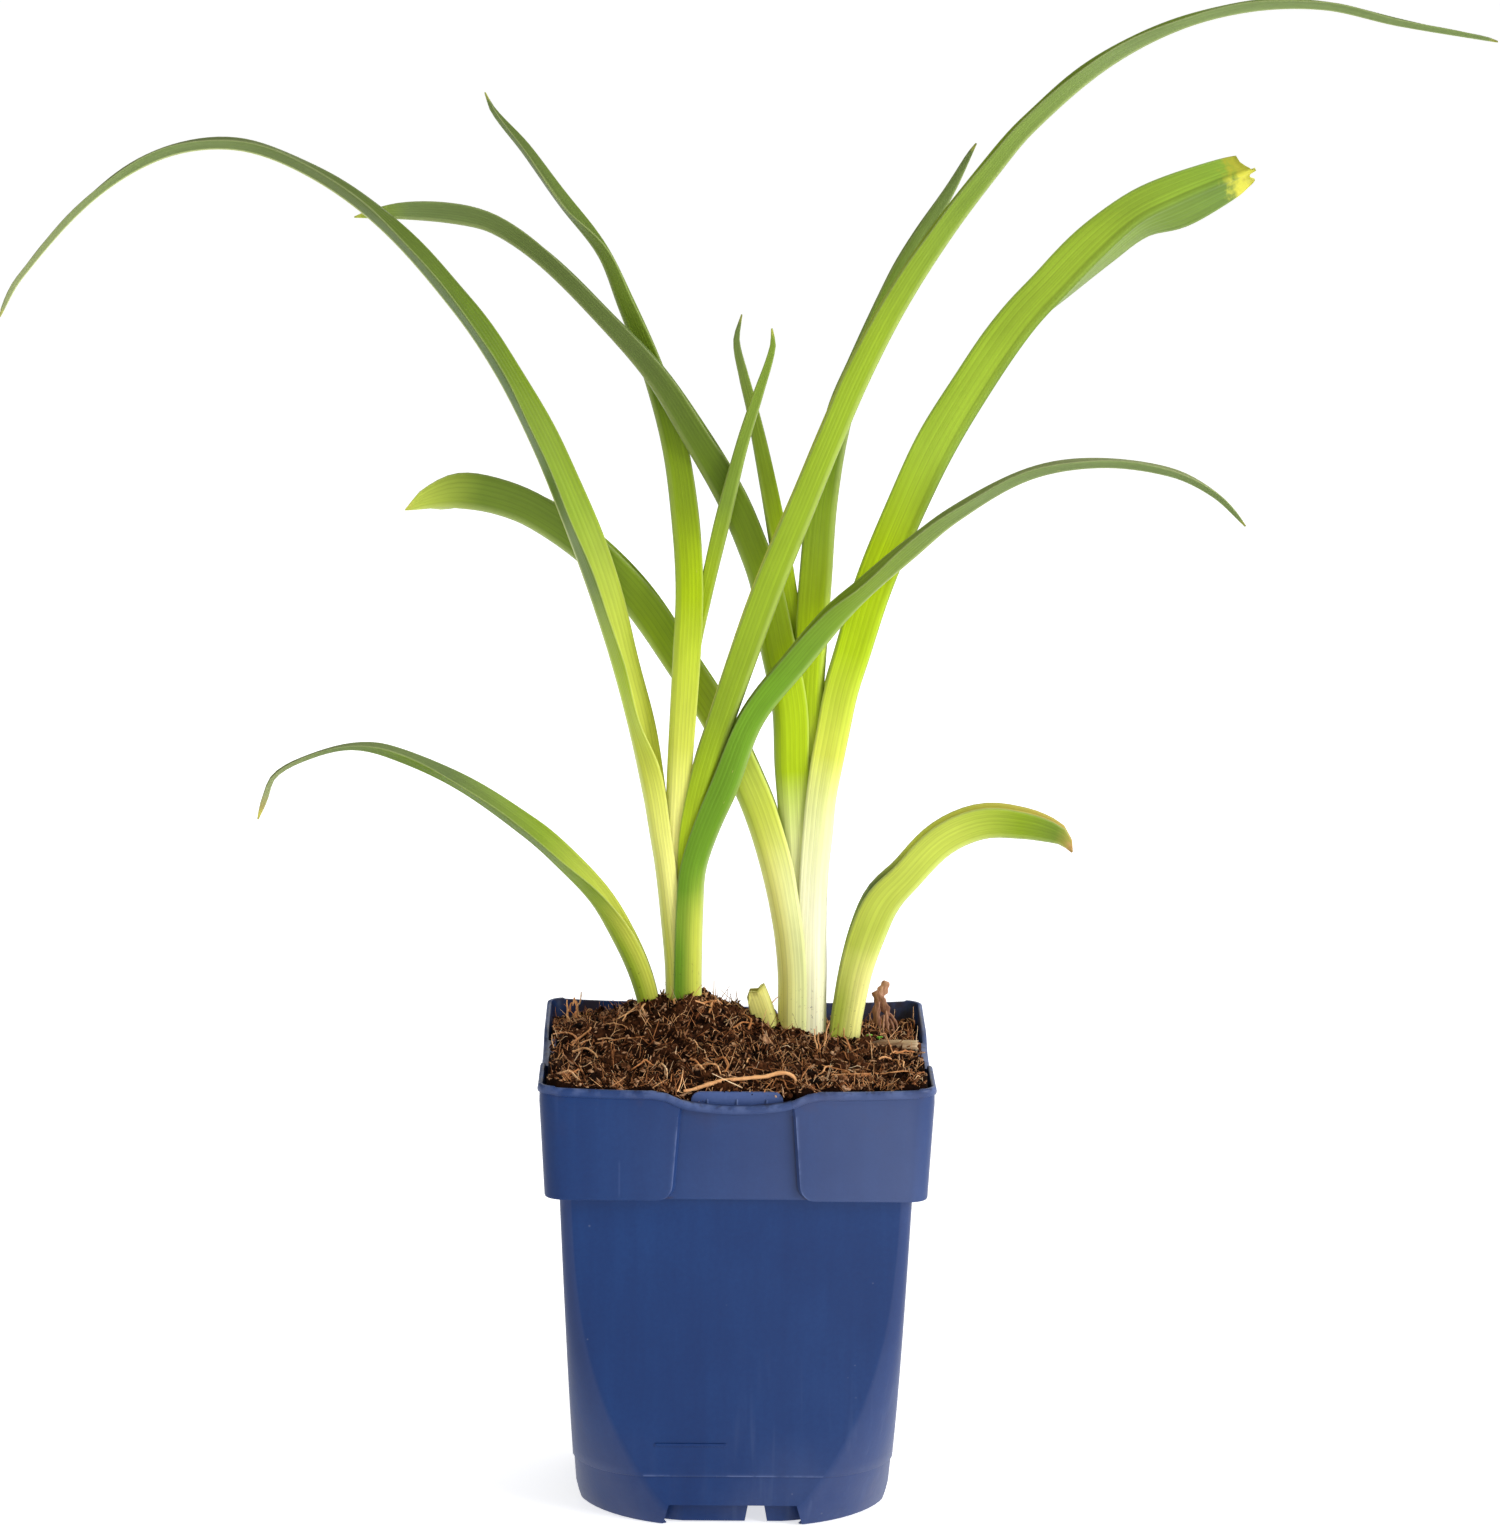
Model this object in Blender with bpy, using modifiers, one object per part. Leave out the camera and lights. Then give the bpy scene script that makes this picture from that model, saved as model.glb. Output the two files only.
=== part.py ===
"""Potted daylily: two fans of folded leaves in the potting mix of a square nursery pot.

Sizes below are in millimetres and become metres when a mesh is made. The origin is the middle
of the pot's foot, +X is to the right of the front face, -Y is the front and +Z is up.
"""
import math

import bmesh
import bpy
from mathutils import Vector

MM = 0.001
GAP = 0.3  # clearance between solids that touch

# Pot
POT_HEIGHT = 129.5
RIM_HALF = 55.0
COLLAR_HEIGHT = 32.8
COLLAR_BOTTOM_HALF = 53.2
COLLAR_CORNER = 5.0
BODY_TOP_HALF = 49.15
BODY_TOP_CORNER = 3.5
BASE_HALF = 44.75
BASE_CORNER = 30.8
BODY_ROUNDING = 2.9  # how fast the corners sharpen towards the collar
WALL = 1.2
STEP_HEIGHT = 14.6  # parting line above the ground
STEP_DEPTH = 0.4
PANEL_INNER_TOP = 14.8  # half the width of the recessed middle of a collar side
PANEL_INNER_BOTTOM = 17.2
PANEL_FLARE = 2.6  # extra width where a panel's lower corner is rounded
PANEL_DEPTH = 1.6
PANEL_FOLD = 0.8  # the step beside a panel leans over this width
LIP_HEIGHT = 2.4
SCOOP_HALF = 22.0
SCOOP_DEPTH = 5.5
TAB_SIZE = (25.5, 1.1, 16.0)  # the label tabs behind the scooped lips
TAB_TOP = 127.0
FLOOR_UNDERSIDE = 6.4
FLOOR_TOP = 7.6
FOOT_HALF = 14.0  # the middle foot, where the drain dimple reaches the ground
FOOT_CORNER = 9.5
FOOT_DRAFT = 0.6
NOTCH_WIDTH = 37.5
NOTCH_HEIGHT = 6.1
NOTCH_REACH = (42.1, 47.0)  # from the middle of the pot, across the skirt only
RING_INSET = 4.0  # the inner ring that the floor stands on
SLOT_CENTRE = 6.6
SLOT_TOP = 4.2
SLOT_BOTTOM = 6.4
DRAIN_RADIUS = 4.0
DRAIN_CIRCLE = 27.0
DRAIN_COUNT = 8
CUT_EXCESS = 1.2  # how far a cutter passes through a wall
BODY_HEIGHTS = (15.0, 30.0, 46.0, 64.0, 82.0)
COLLAR_HEIGHTS = (99.0, 113.0, 121.0)
CORNER_STEPS = 5
PLAIN_SHARES = (1.0, 0.68, 0.46, 0.42, 0.21)  # where a plain side's points lie, of its flat length

# Potting mix
MIX_CLEARANCE = 0.45
MIX_BACK = 121.5
MIX_FRONT = 128.0
MIX_SHARES = (1.0, 0.9, 0.76, 0.6, 0.44, 0.28, 0.13)  # rings of the top, of its outer edge
POCKET_RISE = 30.0  # how far a crown's pocket passes through the top
MOUNDS = ((-10.5, 7.0, 17.6, 19.5, 24.0), (19.0, 9.0, 2.0, 15.0, 14.0))  # x, y, rise, spread x, spread y

# Crowns: the blocks of stem that the leaves stand on (x range, y middle, y depth, top, height)
CROWN_LEFT = ((-28.6, -9.4), 6.0, 13.4, 131.0, 15.0)
CROWN_RIGHT = ((3.4, 36.4), 9.8, 13.4, 120.6, 17.0)
CROWN_BEVEL = 3.0

# Leaves
LEAF_THICKNESS = 0.8
FOLD_RADIUS = 3.0
ACROSS = (-1.0, -0.55, -0.18, 0.0, 0.18, 0.55, 1.0)  # from the back margin over the keel to the front
MARGIN_THINNING = 0.4
TIP_THICKNESS = 0.45  # the share of the thickness that is left at a leaf's point
TIP_WIDTH = 6.0  # half-blades narrower than this are thinner

# Each leaf is a blade folded along its keel. A row is the keel's place (x, y, z), the width of
# half a blade, half the room inside the fold, how far the halves open, and the roll towards the viewer.
LEFT_LOW_LEAF = dict(keel_side=-1, stations=16, rows=(
    (-26.3, 6.0, 131.3, 4.8, 1.8, 0, 0),
    (-27.6, 6.0, 139.3, 5.6, 1.8, 0, 0),
    (-30.6, 6.0, 148.6, 6.0, 1.6, 4, 2),
    (-35.4, 5.6, 158.8, 6.2, 1.3, 14, 6),
    (-41.3, 5.0, 169.0, 6.1, 1.0, 34, 13),
    (-49.8, 4.0, 178.4, 6.3, 0.8, 46, 18),
    (-60.0, 3.0, 188.0, 6.1, 0.7, 50, 18),
    (-80.0, 1.0, 202.7, 4.4, 0.6, 50, 15),
    (-99.6, -1.0, 211.9, 3.4, 0.5, 46, 4),
    (-110.0, -2.0, 213.8, 2.0, 0.4, 50, 0),
    (-121.4, -2.6, 211.0, 1.5, 0.4, 52, 0),
    (-130.6, -3.0, 205.8, 1.3, 0.4, 46, 0),
    (-133.4, -3.0, 198.6, 1.8, 0.4, 40, 0),
    (-135.6, -3.0, 193.6, 0.5, 0.2, 30, 0),
))
LEFT_FRONT_LEAF = dict(keel_side=1, stations=20, rows=(
    (-10.4, 6.0, 131.3, 7.4, 5.0, 0, 0),
    (-10.5, 6.0, 148.8, 7.4, 5.0, 0, 0),
    (-10.2, 5.6, 168.0, 7.2, 4.9, 0, 0),
    (-9.5, 5.0, 178.6, 7.0, 4.6, 0, 0),
    (-6.2, 4.0, 189.2, 7.2, 4.0, 0, 0),
    (-0.6, 2.4, 202.6, 7.6, 3.7, 0, 0),
    (6.3, 0.4, 221.9, 6.6, 2.4, 3, 0),
    (18.8, -1.6, 238.5, 6.9, 1.6, 8, 0),
    (28.4, -3.0, 251.0, 6.5, 1.2, 22, 4),
    (36.0, -4.0, 259.4, 5.8, 1.0, 42, 6),
    (48.3, -5.0, 270.6, 5.8, 0.8, 40, 0),
    (60.0, -6.0, 280.9, 4.6, 0.8, 42, 0),
    (79.6, -7.4, 292.9, 3.6, 0.7, 46, 0),
    (99.4, -8.6, 296.8, 3.0, 0.6, 46, 0),
    (119.2, -9.6, 294.6, 2.5, 0.5, 46, 0),
    (131.2, -10.0, 289.0, 2.0, 0.4, 44, 0),
    (140.4, -10.4, 280.6, 0.7, 0.2, 30, 0),
))
LEFT_ARCHING_LEAF = dict(keel_side=-1, stations=22, rows=(
    (-19.6, 6.0, 131.3, 5.5, 3.9, 0, 0),
    (-19.8, 6.0, 148.6, 5.5, 3.9, 0, 0),
    (-21.3, 5.7, 165.0, 5.4, 3.9, 0, 0),
    (-22.9, 5.0, 179.0, 5.4, 3.7, 0, 0),
    (-24.6, 4.0, 189.4, 5.6, 2.9, 2, 0),
    (-26.3, 3.4, 199.4, 6.0, 2.3, 8, 0),
    (-30.7, 3.4, 219.4, 7.7, 1.2, 44, 17),
    (-36.1, 3.4, 239.4, 8.7, 0.9, 52, 15),
    (-42.7, 3.2, 259.6, 9.9, 0.8, 51, 20),
    (-50.2, 2.8, 279.8, 10.0, 0.8, 55, 20),
    (-58.4, 2.2, 299.8, 9.0, 0.7, 56, 20),
    (-68.4, 1.0, 319.8, 7.6, 0.7, 56, 17),
    (-80.2, 0.0, 337.5, 6.8, 0.6, 54, 16),
    (-100.2, -1.6, 360.4, 5.8, 0.6, 56, 10),
    (-119.9, -3.0, 374.9, 4.8, 0.5, 56, 0),
    (-139.8, -4.0, 382.3, 4.3, 0.5, 54, 0),
    (-159.8, -5.0, 380.2, 4.0, 0.5, 54, 0),
    (-179.8, -5.6, 368.2, 2.5, 0.4, 50, 0),
    (-200.0, -6.0, 346.1, 1.7, 0.3, 44, 0),
    (-206.0, -6.0, 335.4, 0.8, 0.2, 30, 0),
))
LEFT_TALL_LEAF = dict(keel_side=1, stations=24, rows=(
    (-12.3, 6.0, 131.3, 4.2, 2.8, 0, 0),
    (-12.4, 6.0, 148.8, 4.2, 2.8, 0, 0),
    (-11.8, 5.6, 168.0, 5.0, 2.8, 0, 0),
    (-11.2, 5.0, 178.6, 5.9, 2.8, 0, 0),
    (-10.1, 4.0, 189.2, 6.6, 2.8, 0, 0),
    (-8.4, 2.6, 199.6, 6.6, 2.6, 0, 0),
    (-5.8, 1.8, 209.8, 6.8, 2.7, 0, 0),
    (-2.6, 0.6, 219.9, 7.0, 1.2, 2, 0),
    (4.2, -0.6, 240.0, 7.6, 0.8, 10, 0),
    (11.3, -1.4, 260.2, 8.0, 0.7, 16, 0),
    (19.0, -1.6, 280.2, 7.6, 0.7, 18, 0),
    (26.8, -1.6, 300.2, 7.3, 0.7, 20, 0),
    (35.1, -1.4, 320.1, 7.2, 0.7, 20, 0),
    (45.0, -1.0, 340.0, 6.8, 0.7, 22, 0),
    (57.2, 0.0, 359.7, 6.2, 0.7, 26, 0),
    (69.9, 1.0, 377.1, 5.6, 0.6, 32, 0),
    (79.9, 1.6, 389.3, 5.4, 0.6, 36, 0),
    (99.8, 2.2, 406.7, 5.3, 0.6, 44, 0),
    (119.8, 2.8, 417.5, 3.9, 0.5, 48, 0),
    (140.0, 3.0, 422.8, 3.8, 0.5, 52, 0),
    (160.0, 3.2, 423.3, 3.1, 0.4, 52, 0),
    (180.0, 3.6, 419.1, 2.4, 0.4, 48, 0),
    (208.2, 4.0, 414.6, 0.8, 0.2, 30, 0),
))
LEFT_UPRIGHT_LEAF = dict(keel_side=-1, stations=18, rows=(
    (-18.2, 6.0, 131.3, 3.1, 1.7, 0, 0),
    (-18.4, 6.0, 148.8, 3.4, 1.7, 0, 0),
    (-19.8, 5.6, 168.0, 4.2, 1.7, 0, 0),
    (-20.2, 5.0, 178.6, 4.8, 1.7, 0, 0),
    (-20.2, 4.0, 189.2, 5.6, 1.7, 0, 0),
    (-19.9, 2.6, 199.6, 6.2, 1.7, 0, 0),
    (-19.6, 1.8, 209.8, 6.5, 1.7, 0, 0),
    (-18.4, 2.6, 239.5, 7.3, 1.7, 4, 0),
    (-17.7, 3.6, 259.4, 7.3, 1.6, 8, 0),
    (-19.1, 7.4, 279.0, 7.4, 0.8, 12, 0),
    (-21.9, 11.4, 298.6, 6.9, 0.7, 16, 0),
    (-27.4, 13.4, 318.6, 6.1, 0.7, 22, 0),
    (-34.9, 14.0, 338.6, 4.7, 0.6, 28, 0),
    (-40.5, 14.2, 352.4, 4.1, 0.6, 44, 0),
    (-51.3, 14.2, 366.2, 3.8, 0.5, 58, 22),
    (-61.8, 14.2, 380.8, 3.0, 0.5, 56, 20),
    (-70.5, 14.2, 391.8, 1.6, 0.4, 44, 6),
    (-72.6, 14.2, 397.3, 0.5, 0.2, 30, 0),
))
LEFT_YOUNG_LEAF = dict(keel_side=1, stations=13, rows=(
    (-13.6, 6.0, 131.3, 2.9, 0.6, 0, 0),
    (-13.7, 6.0, 148.8, 3.0, 0.6, 0, 0),
    (-13.9, 5.0, 178.6, 3.4, 0.6, 0, 0),
    (-14.2, 4.0, 189.2, 3.6, 0.6, 0, 0),
    (-14.3, 2.6, 199.6, 3.6, 0.6, 0, 0),
    (-13.9, 1.9, 209.8, 3.6, 0.6, 0, 0),
    (-12.0, 2.5, 239.5, 3.7, 0.6, 2, 0),
    (-8.5, 3.6, 257.4, 3.5, 0.6, 6, 0),
    (-3.4, 3.0, 279.6, 3.9, 0.6, 12, 0),
    (1.1, 1.8, 299.8, 3.1, 0.6, 18, 0),
    (5.4, 0.6, 315.0, 2.6, 0.5, 24, 0),
    (8.8, 0.0, 328.4, 1.5, 0.4, 28, 0),
    (8.0, 0.0, 333.6, 0.5, 0.2, 20, 0),
))
RIGHT_LOW_LEAF = dict(keel_side=1, stations=15, rows=(
    (34.6, 8.6, 121.0, 7.8, 2.6, 0, 0),
    (35.2, 8.6, 131.0, 8.2, 2.6, 0, 0),
    (36.4, 8.4, 138.8, 8.5, 2.4, 2, 0),
    (38.4, 8.0, 148.4, 9.0, 2.2, 4, -2),
    (41.7, 7.4, 158.2, 10.0, 2.0, 8, -2),
    (45.5, 6.6, 167.2, 10.2, 1.8, 12, 0),
    (50.8, 5.6, 174.0, 9.3, 1.6, 14, 0),
    (60.2, 4.6, 184.1, 9.6, 1.4, 16, 0),
    (70.0, 3.6, 188.9, 9.5, 1.2, 18, 0),
    (80.2, 2.8, 189.2, 8.5, 1.0, 20, 0),
    (88.0, 2.2, 188.4, 6.7, 0.9, 22, 0),
    (91.8, 2.0, 187.6, 4.6, 0.7, 26, 0),
    (94.9, 2.0, 185.0, 1.2, 0.3, 20, 0),
))
RIGHT_CROSSING_LEAF = dict(keel_side=-1, stations=20, rows=(
    (12.6, 10.0, 121.0, 7.5, 5.0, 0, 0),
    (12.6, 10.0, 137.8, 7.5, 5.0, 0, 0),
    (12.4, 10.0, 147.8, 7.6, 5.0, 0, 0),
    (11.4, 10.0, 157.8, 7.8, 5.0, 0, 0),
    (9.6, 10.0, 167.9, 8.2, 5.0, 0, 0),
    (7.2, 10.1, 177.9, 8.8, 5.0, 0, 0),
    (4.2, 10.4, 188.0, 8.9, 4.2, 0, 0),
    (0.4, 11.0, 197.9, 9.1, 2.6, 4, 0),
    (-9.5, 12.2, 218.5, 9.2, 1.2, 12, 0),
    (-19.0, 13.4, 233.0, 9.3, 0.9, 14, 0),
    (-32.0, 14.6, 251.4, 9.8, 0.8, 14, 0),
    (-45.0, 15.4, 265.0, 9.6, 0.8, 15, 0),
    (-59.9, 15.8, 275.3, 10.2, 0.8, 26, -10),
    (-70.3, 16.0, 279.2, 10.4, 0.8, 42, -28),
    (-80.6, 16.0, 280.6, 10.0, 0.7, 56, -44),
    (-88.6, 16.0, 280.4, 6.2, 0.6, 60, -42),
    (-95.0, 16.0, 279.4, 1.0, 0.2, 40, -20),
))
RIGHT_BROAD_LEAF = dict(keel_side=1, stations=22, rows=(
    (25.2, 10.0, 121.0, 8.8, 3.9, 0, 0),
    (25.3, 10.0, 147.8, 8.6, 3.9, 0, 0),
    (25.1, 10.0, 157.8, 8.2, 3.9, 0, 0),
    (25.1, 10.0, 167.9, 7.8, 3.9, 0, 0),
    (25.5, 10.0, 177.9, 7.8, 3.9, 0, 0),
    (26.5, 10.0, 188.0, 8.2, 3.9, 0, 0),
    (27.3, 10.0, 198.1, 8.2, 3.9, 0, 0),
    (29.1, 9.9, 208.2, 8.8, 3.8, 0, 0),
    (31.0, 9.8, 218.2, 9.0, 3.0, 0, 0),
    (33.0, 9.6, 228.3, 9.3, 2.9, 0, 0),
    (36.0, 9.4, 238.4, 9.6, 2.2, 4, -4),
    (42.1, 9.2, 258.2, 10.4, 1.2, 8, -14),
    (50.3, 9.0, 278.7, 10.8, 0.9, 13, -27),
    (59.6, 8.8, 298.7, 11.8, 0.8, 17, -43),
    (71.3, 8.6, 318.8, 12.2, 0.8, 20, -56),
    (80.9, 8.4, 333.0, 13.0, 0.8, 24, -68),
    (88.8, 8.2, 342.1, 13.0, 0.8, 28, -75),
    (100.6, 8.0, 354.7, 12.8, 0.8, 33, -79),
    (110.5, 7.8, 363.8, 12.0, 0.8, 35, -87),
    (120.7, 7.6, 369.2, 11.0, 0.8, 44, -94),
    (131.2, 7.4, 374.0, 9.2, 0.7, 46, -94),
    (140.9, 7.2, 378.1, 7.2, 0.6, 43, -92),
))
RIGHT_ARCHING_LEAF = dict(keel_side=-1, stations=20, rows=(
    (13.9, 10.0, 121.0, 7.5, 2.8, 0, 0),
    (13.8, 10.0, 157.8, 7.5, 2.8, 0, 0),
    (13.1, 10.0, 177.9, 7.8, 2.8, 0, 0),
    (12.5, 10.0, 188.0, 8.0, 2.8, 0, 0),
    (11.7, 10.0, 198.1, 8.5, 2.8, 0, 0),
    (10.8, 9.9, 208.2, 9.2, 2.8, 0, 0),
    (9.9, 9.7, 224.8, 9.5, 2.8, 0, 0),
    (6.2, 9.3, 242.5, 9.5, 2.8, 0, 0),
    (3.6, 8.9, 258.6, 8.4, 1.8, 2, 0),
    (0.2, 8.3, 268.8, 8.0, 1.7, 3, 0),
    (-6.1, 7.6, 283.3, 8.0, 1.0, 8, 0),
    (-17.0, 6.7, 302.5, 7.2, 0.7, 12, 6),
    (-26.7, 7.0, 318.3, 5.8, 0.7, 14, 0),
    (-40.1, 7.4, 333.7, 4.6, 0.7, 16, 0),
    (-56.9, 8.0, 350.2, 4.4, 0.6, 20, -4),
    (-70.1, 8.6, 359.0, 5.0, 0.6, 40, -24),
    (-80.4, 9.0, 361.5, 5.6, 0.6, 50, -34),
    (-95.9, 9.4, 362.7, 4.4, 0.5, 52, -34),
    (-108.8, 9.6, 362.6, 1.0, 0.2, 36, -10),
))
RIGHT_UPRIGHT_LEAF = dict(keel_side=1, stations=15, rows=(
    (24.0, 10.0, 121.0, 6.5, 1.7, 0, 0),
    (23.8, 10.0, 157.8, 6.5, 1.7, 0, 0),
    (23.7, 10.0, 188.0, 7.2, 1.7, 0, 0),
    (23.2, 9.9, 208.2, 7.8, 1.7, 0, 0),
    (23.4, 9.7, 228.3, 8.4, 1.7, 0, 0),
    (24.5, 9.3, 248.5, 8.7, 1.7, 0, 0),
    (25.2, 9.1, 260.6, 8.7, 1.5, 2, 0),
    (26.7, 9.4, 284.9, 8.0, 0.8, 8, 0),
    (30.6, 9.8, 308.2, 7.0, 0.7, 12, 0),
    (35.6, 10.0, 320.8, 6.8, 0.7, 14, 0),
    (46.0, 10.4, 345.8, 6.0, 0.7, 18, 0),
    (51.6, 10.6, 358.4, 4.4, 0.6, 20, 0),
    (58.9, 10.8, 372.2, 2.6, 0.5, 24, 0),
    (64.6, 11.0, 384.7, 0.7, 0.2, 20, 0),
))
RIGHT_YOUNG_LEAF = dict(keel_side=-1, stations=12, rows=(
    (15.3, 10.0, 121.0, 5.0, 0.6, 0, 0),
    (15.3, 10.0, 157.8, 5.0, 0.6, 0, 0),
    (14.7, 10.0, 198.1, 5.2, 0.6, 0, 0),
    (13.6, 9.7, 228.3, 5.4, 0.6, 0, 0),
    (11.9, 9.3, 248.5, 5.6, 0.6, 0, 0),
    (10.4, 9.0, 259.6, 5.4, 0.6, 0, 0),
    (8.4, 8.4, 272.8, 5.0, 0.6, 2, 0),
    (5.6, 8.6, 288.8, 4.3, 0.6, 10, 0),
    (1.8, 8.8, 308.8, 3.1, 0.6, 16, 0),
    (-0.6, 9.0, 318.8, 2.5, 0.5, 20, 0),
    (-2.4, 9.0, 329.0, 1.6, 0.4, 24, 0),
    (-0.4, 9.0, 336.5, 0.5, 0.2, 20, 0),
))
CUT_STUB = dict(keel_side=1, stations=4, rows=(
    (11.6, 8.4, 121.0, 6.0, 2.0, 0, 0),
    (11.2, 8.2, 134.0, 6.2, 2.0, 0, 0),
    (9.4, 8.0, 140.0, 6.2, 1.9, 4, 0),
    (8.0, 8.0, 143.4, 5.8, 1.9, 6, 0),
))
DRY_SCRAP = dict(keel_side=-1, stations=8, rows=(
    (44.6, 15.0, 125.2, 3.6, 0.8, 30, 10),
    (42.4, 15.4, 130.0, 4.0, 0.8, 34, 10),
    (39.8, 15.6, 137.0, 3.4, 0.8, 40, 0),
    (40.6, 15.8, 142.0, 2.2, 0.6, 40, -10),
    (42.2, 16.0, 144.4, 0.8, 0.3, 30, 0),
))

# Pieces on the potting mix
ROOT_ROUTE = (
    (-15.0, -48.2, 0.0), (-10.0, -47.4, 0.0), (-2.0, -46.8, 0.3), (6.0, -46.2, 0.8),
    (12.0, -45.8, 0.8), (14.8, -46.4, 0.3), (15.6, -48.2, 0.0),
)  # x, y and lift off the mix
ROOT_RADIUS = 0.6
ROOT_STEPS = 4
ROOT_CLEARANCE = 0.1
CHIP_SIZE = (11.2, 3.4, 1.8)
CHIP_PLACE = (44.9, 7.6)
CHIP_TURN = -4.0
CHIP_BEVEL = 0.4
CHIP_TAPER = 0.94

SMOOTH_ANGLE = 35.0
COLOURS = {  # base colour and roughness
    "blue_plastic": ((0.035, 0.07, 0.2), 0.45),
    "peat_mix": ((0.045, 0.022, 0.012), 0.95),
    "crown": ((0.62, 0.6, 0.36), 0.6),
    "leaf_green": ((0.18, 0.32, 0.05), 0.5),
    "leaf_grey_green": ((0.14, 0.22, 0.08), 0.5),
    "leaf_lime": ((0.34, 0.46, 0.08), 0.5),
    "dry_straw": ((0.34, 0.2, 0.1), 0.85),
    "root_tan": ((0.45, 0.26, 0.12), 0.8),
    "bark": ((0.2, 0.13, 0.08), 0.9),
}


# General helpers

def clear_scene():
    for old in list(bpy.data.objects):
        bpy.data.objects.remove(old, do_unlink=True)


def make_collection(name, hidden=False):
    collection = bpy.data.collections.new(name)
    collection.hide_render = hidden
    bpy.context.scene.collection.children.link(collection)
    return collection


def make_material(name):
    colour, roughness = COLOURS[name]
    material = bpy.data.materials.new(name)
    material.use_nodes = True
    shader = material.node_tree.nodes["Principled BSDF"]
    shader.inputs["Base Color"].default_value = (*colour, 1.0)
    shader.inputs["Roughness"].default_value = roughness
    material.diffuse_color = (*colour, 1.0)
    return material


def object_from(bm, name, collection, material=None):
    bmesh.ops.recalc_face_normals(bm, faces=bm.faces)
    mesh = bpy.data.meshes.new(name)
    bm.to_mesh(mesh)
    bm.free()
    mesh.shade_smooth()
    mesh.set_sharp_from_angle(angle=math.radians(SMOOTH_ANGLE))
    made = bpy.data.objects.new(name, mesh)
    collection.objects.link(made)
    if material:
        mesh.materials.append(material)
    return made


def cutter_from(bm, name, cutters):
    made = object_from(bm, name, cutters)
    made.hide_render = True
    made.display_type = "WIRE"
    return made


def boolean(target, cutter, operation="DIFFERENCE"):
    modifier = target.modifiers.new(cutter.name, "BOOLEAN")
    modifier.operation = operation
    modifier.object = cutter
    modifier.solver = "EXACT"


def loft(bm, rings, capped=True):
    """Skins closed rings of equally many points, given in millimetres, and closes both ends."""
    made = [[bm.verts.new(Vector(point) * MM) for point in ring] for ring in rings]
    count = len(made[0])
    for lower, upper in zip(made, made[1:]):
        for i in range(count):
            j = (i + 1) % count
            bm.faces.new((lower[i], lower[j], upper[j], upper[i]))
    if capped:
        bm.faces.new(made[0])
        bm.faces.new(made[-1])
        bmesh.ops.triangulate(bm, faces=bm.faces)
    return made


def quarter_turned(point, quarter):
    x, y, z = point
    for _ in range(quarter):
        x, y = -y, x
    return (x, y, z)


def add_box(bm, size, centre, quarter=0, narrow_top=1.0, lean=0.0):
    """Adds a box in millimetres, turned round the pot by quarters; its top may be narrower or lean out."""
    for vert in bmesh.ops.create_cube(bm, size=1.0)["verts"]:
        width = size[0] * (narrow_top if vert.co.z > 0 else 1.0)
        rise = vert.co.z * size[2]
        place = (
            centre[0] + vert.co.x * width,
            centre[1] + vert.co.y * size[1] - lean * rise,
            centre[2] + rise,
        )
        vert.co = Vector(quarter_turned(place, quarter)) * MM


# Pot

def body_half(z):
    share = z / (POT_HEIGHT - COLLAR_HEIGHT)
    return BASE_HALF + (BODY_TOP_HALF - BASE_HALF) * share


def body_corner(z):
    share = z / (POT_HEIGHT - COLLAR_HEIGHT)
    return BODY_TOP_CORNER + (BASE_CORNER - BODY_TOP_CORNER) * (1 - share) ** BODY_ROUNDING


def collar_half(z):
    share = (POT_HEIGHT - z) / COLLAR_HEIGHT
    return RIM_HALF + (COLLAR_BOTTOM_HALF - RIM_HALF) * share


def panel_inner(z):
    """Half the width of the recessed middle of a collar side at this height."""
    share = (POT_HEIGHT - z) / COLLAR_HEIGHT
    flare = PANEL_FLARE if z <= POT_HEIGHT - COLLAR_HEIGHT else 0.0
    return PANEL_INNER_TOP + (PANEL_INNER_BOTTOM - PANEL_INNER_TOP) * share + flare


def scoop_drop(across):
    share = min(1.0, abs(across) / SCOOP_HALF)
    return SCOOP_DEPTH * (1 + math.cos(math.pi * share)) / 2


def pot_ring(z, half, corner, recess=0.0, scooped=False):
    """One horizontal outline of the pot: four sides with rounded corners between them."""
    flat = half - corner
    panelled = recess or scooped
    if panelled:
        edge = panel_inner(z)
        across = (flat, SCOOP_HALF, edge + PANEL_FOLD, edge, edge / 2)
    else:
        across = [share * flat for share in PLAIN_SHARES]
    side = [-x for x in across] + [0.0] + list(reversed(across))
    ring = []
    for quarter in range(4):
        for x in side:
            inset = recess if recess and abs(x) <= edge else 0.0
            drop = scoop_drop(x) if scooped else 0.0
            ring.append(quarter_turned((x, inset - half, z - drop), quarter))
        for step in range(1, CORNER_STEPS):
            turn = math.pi / 2 * step / CORNER_STEPS
            point = (flat + corner * math.sin(turn), -flat - corner * math.cos(turn), z)
            ring.append(quarter_turned(point, quarter))
    return ring


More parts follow.
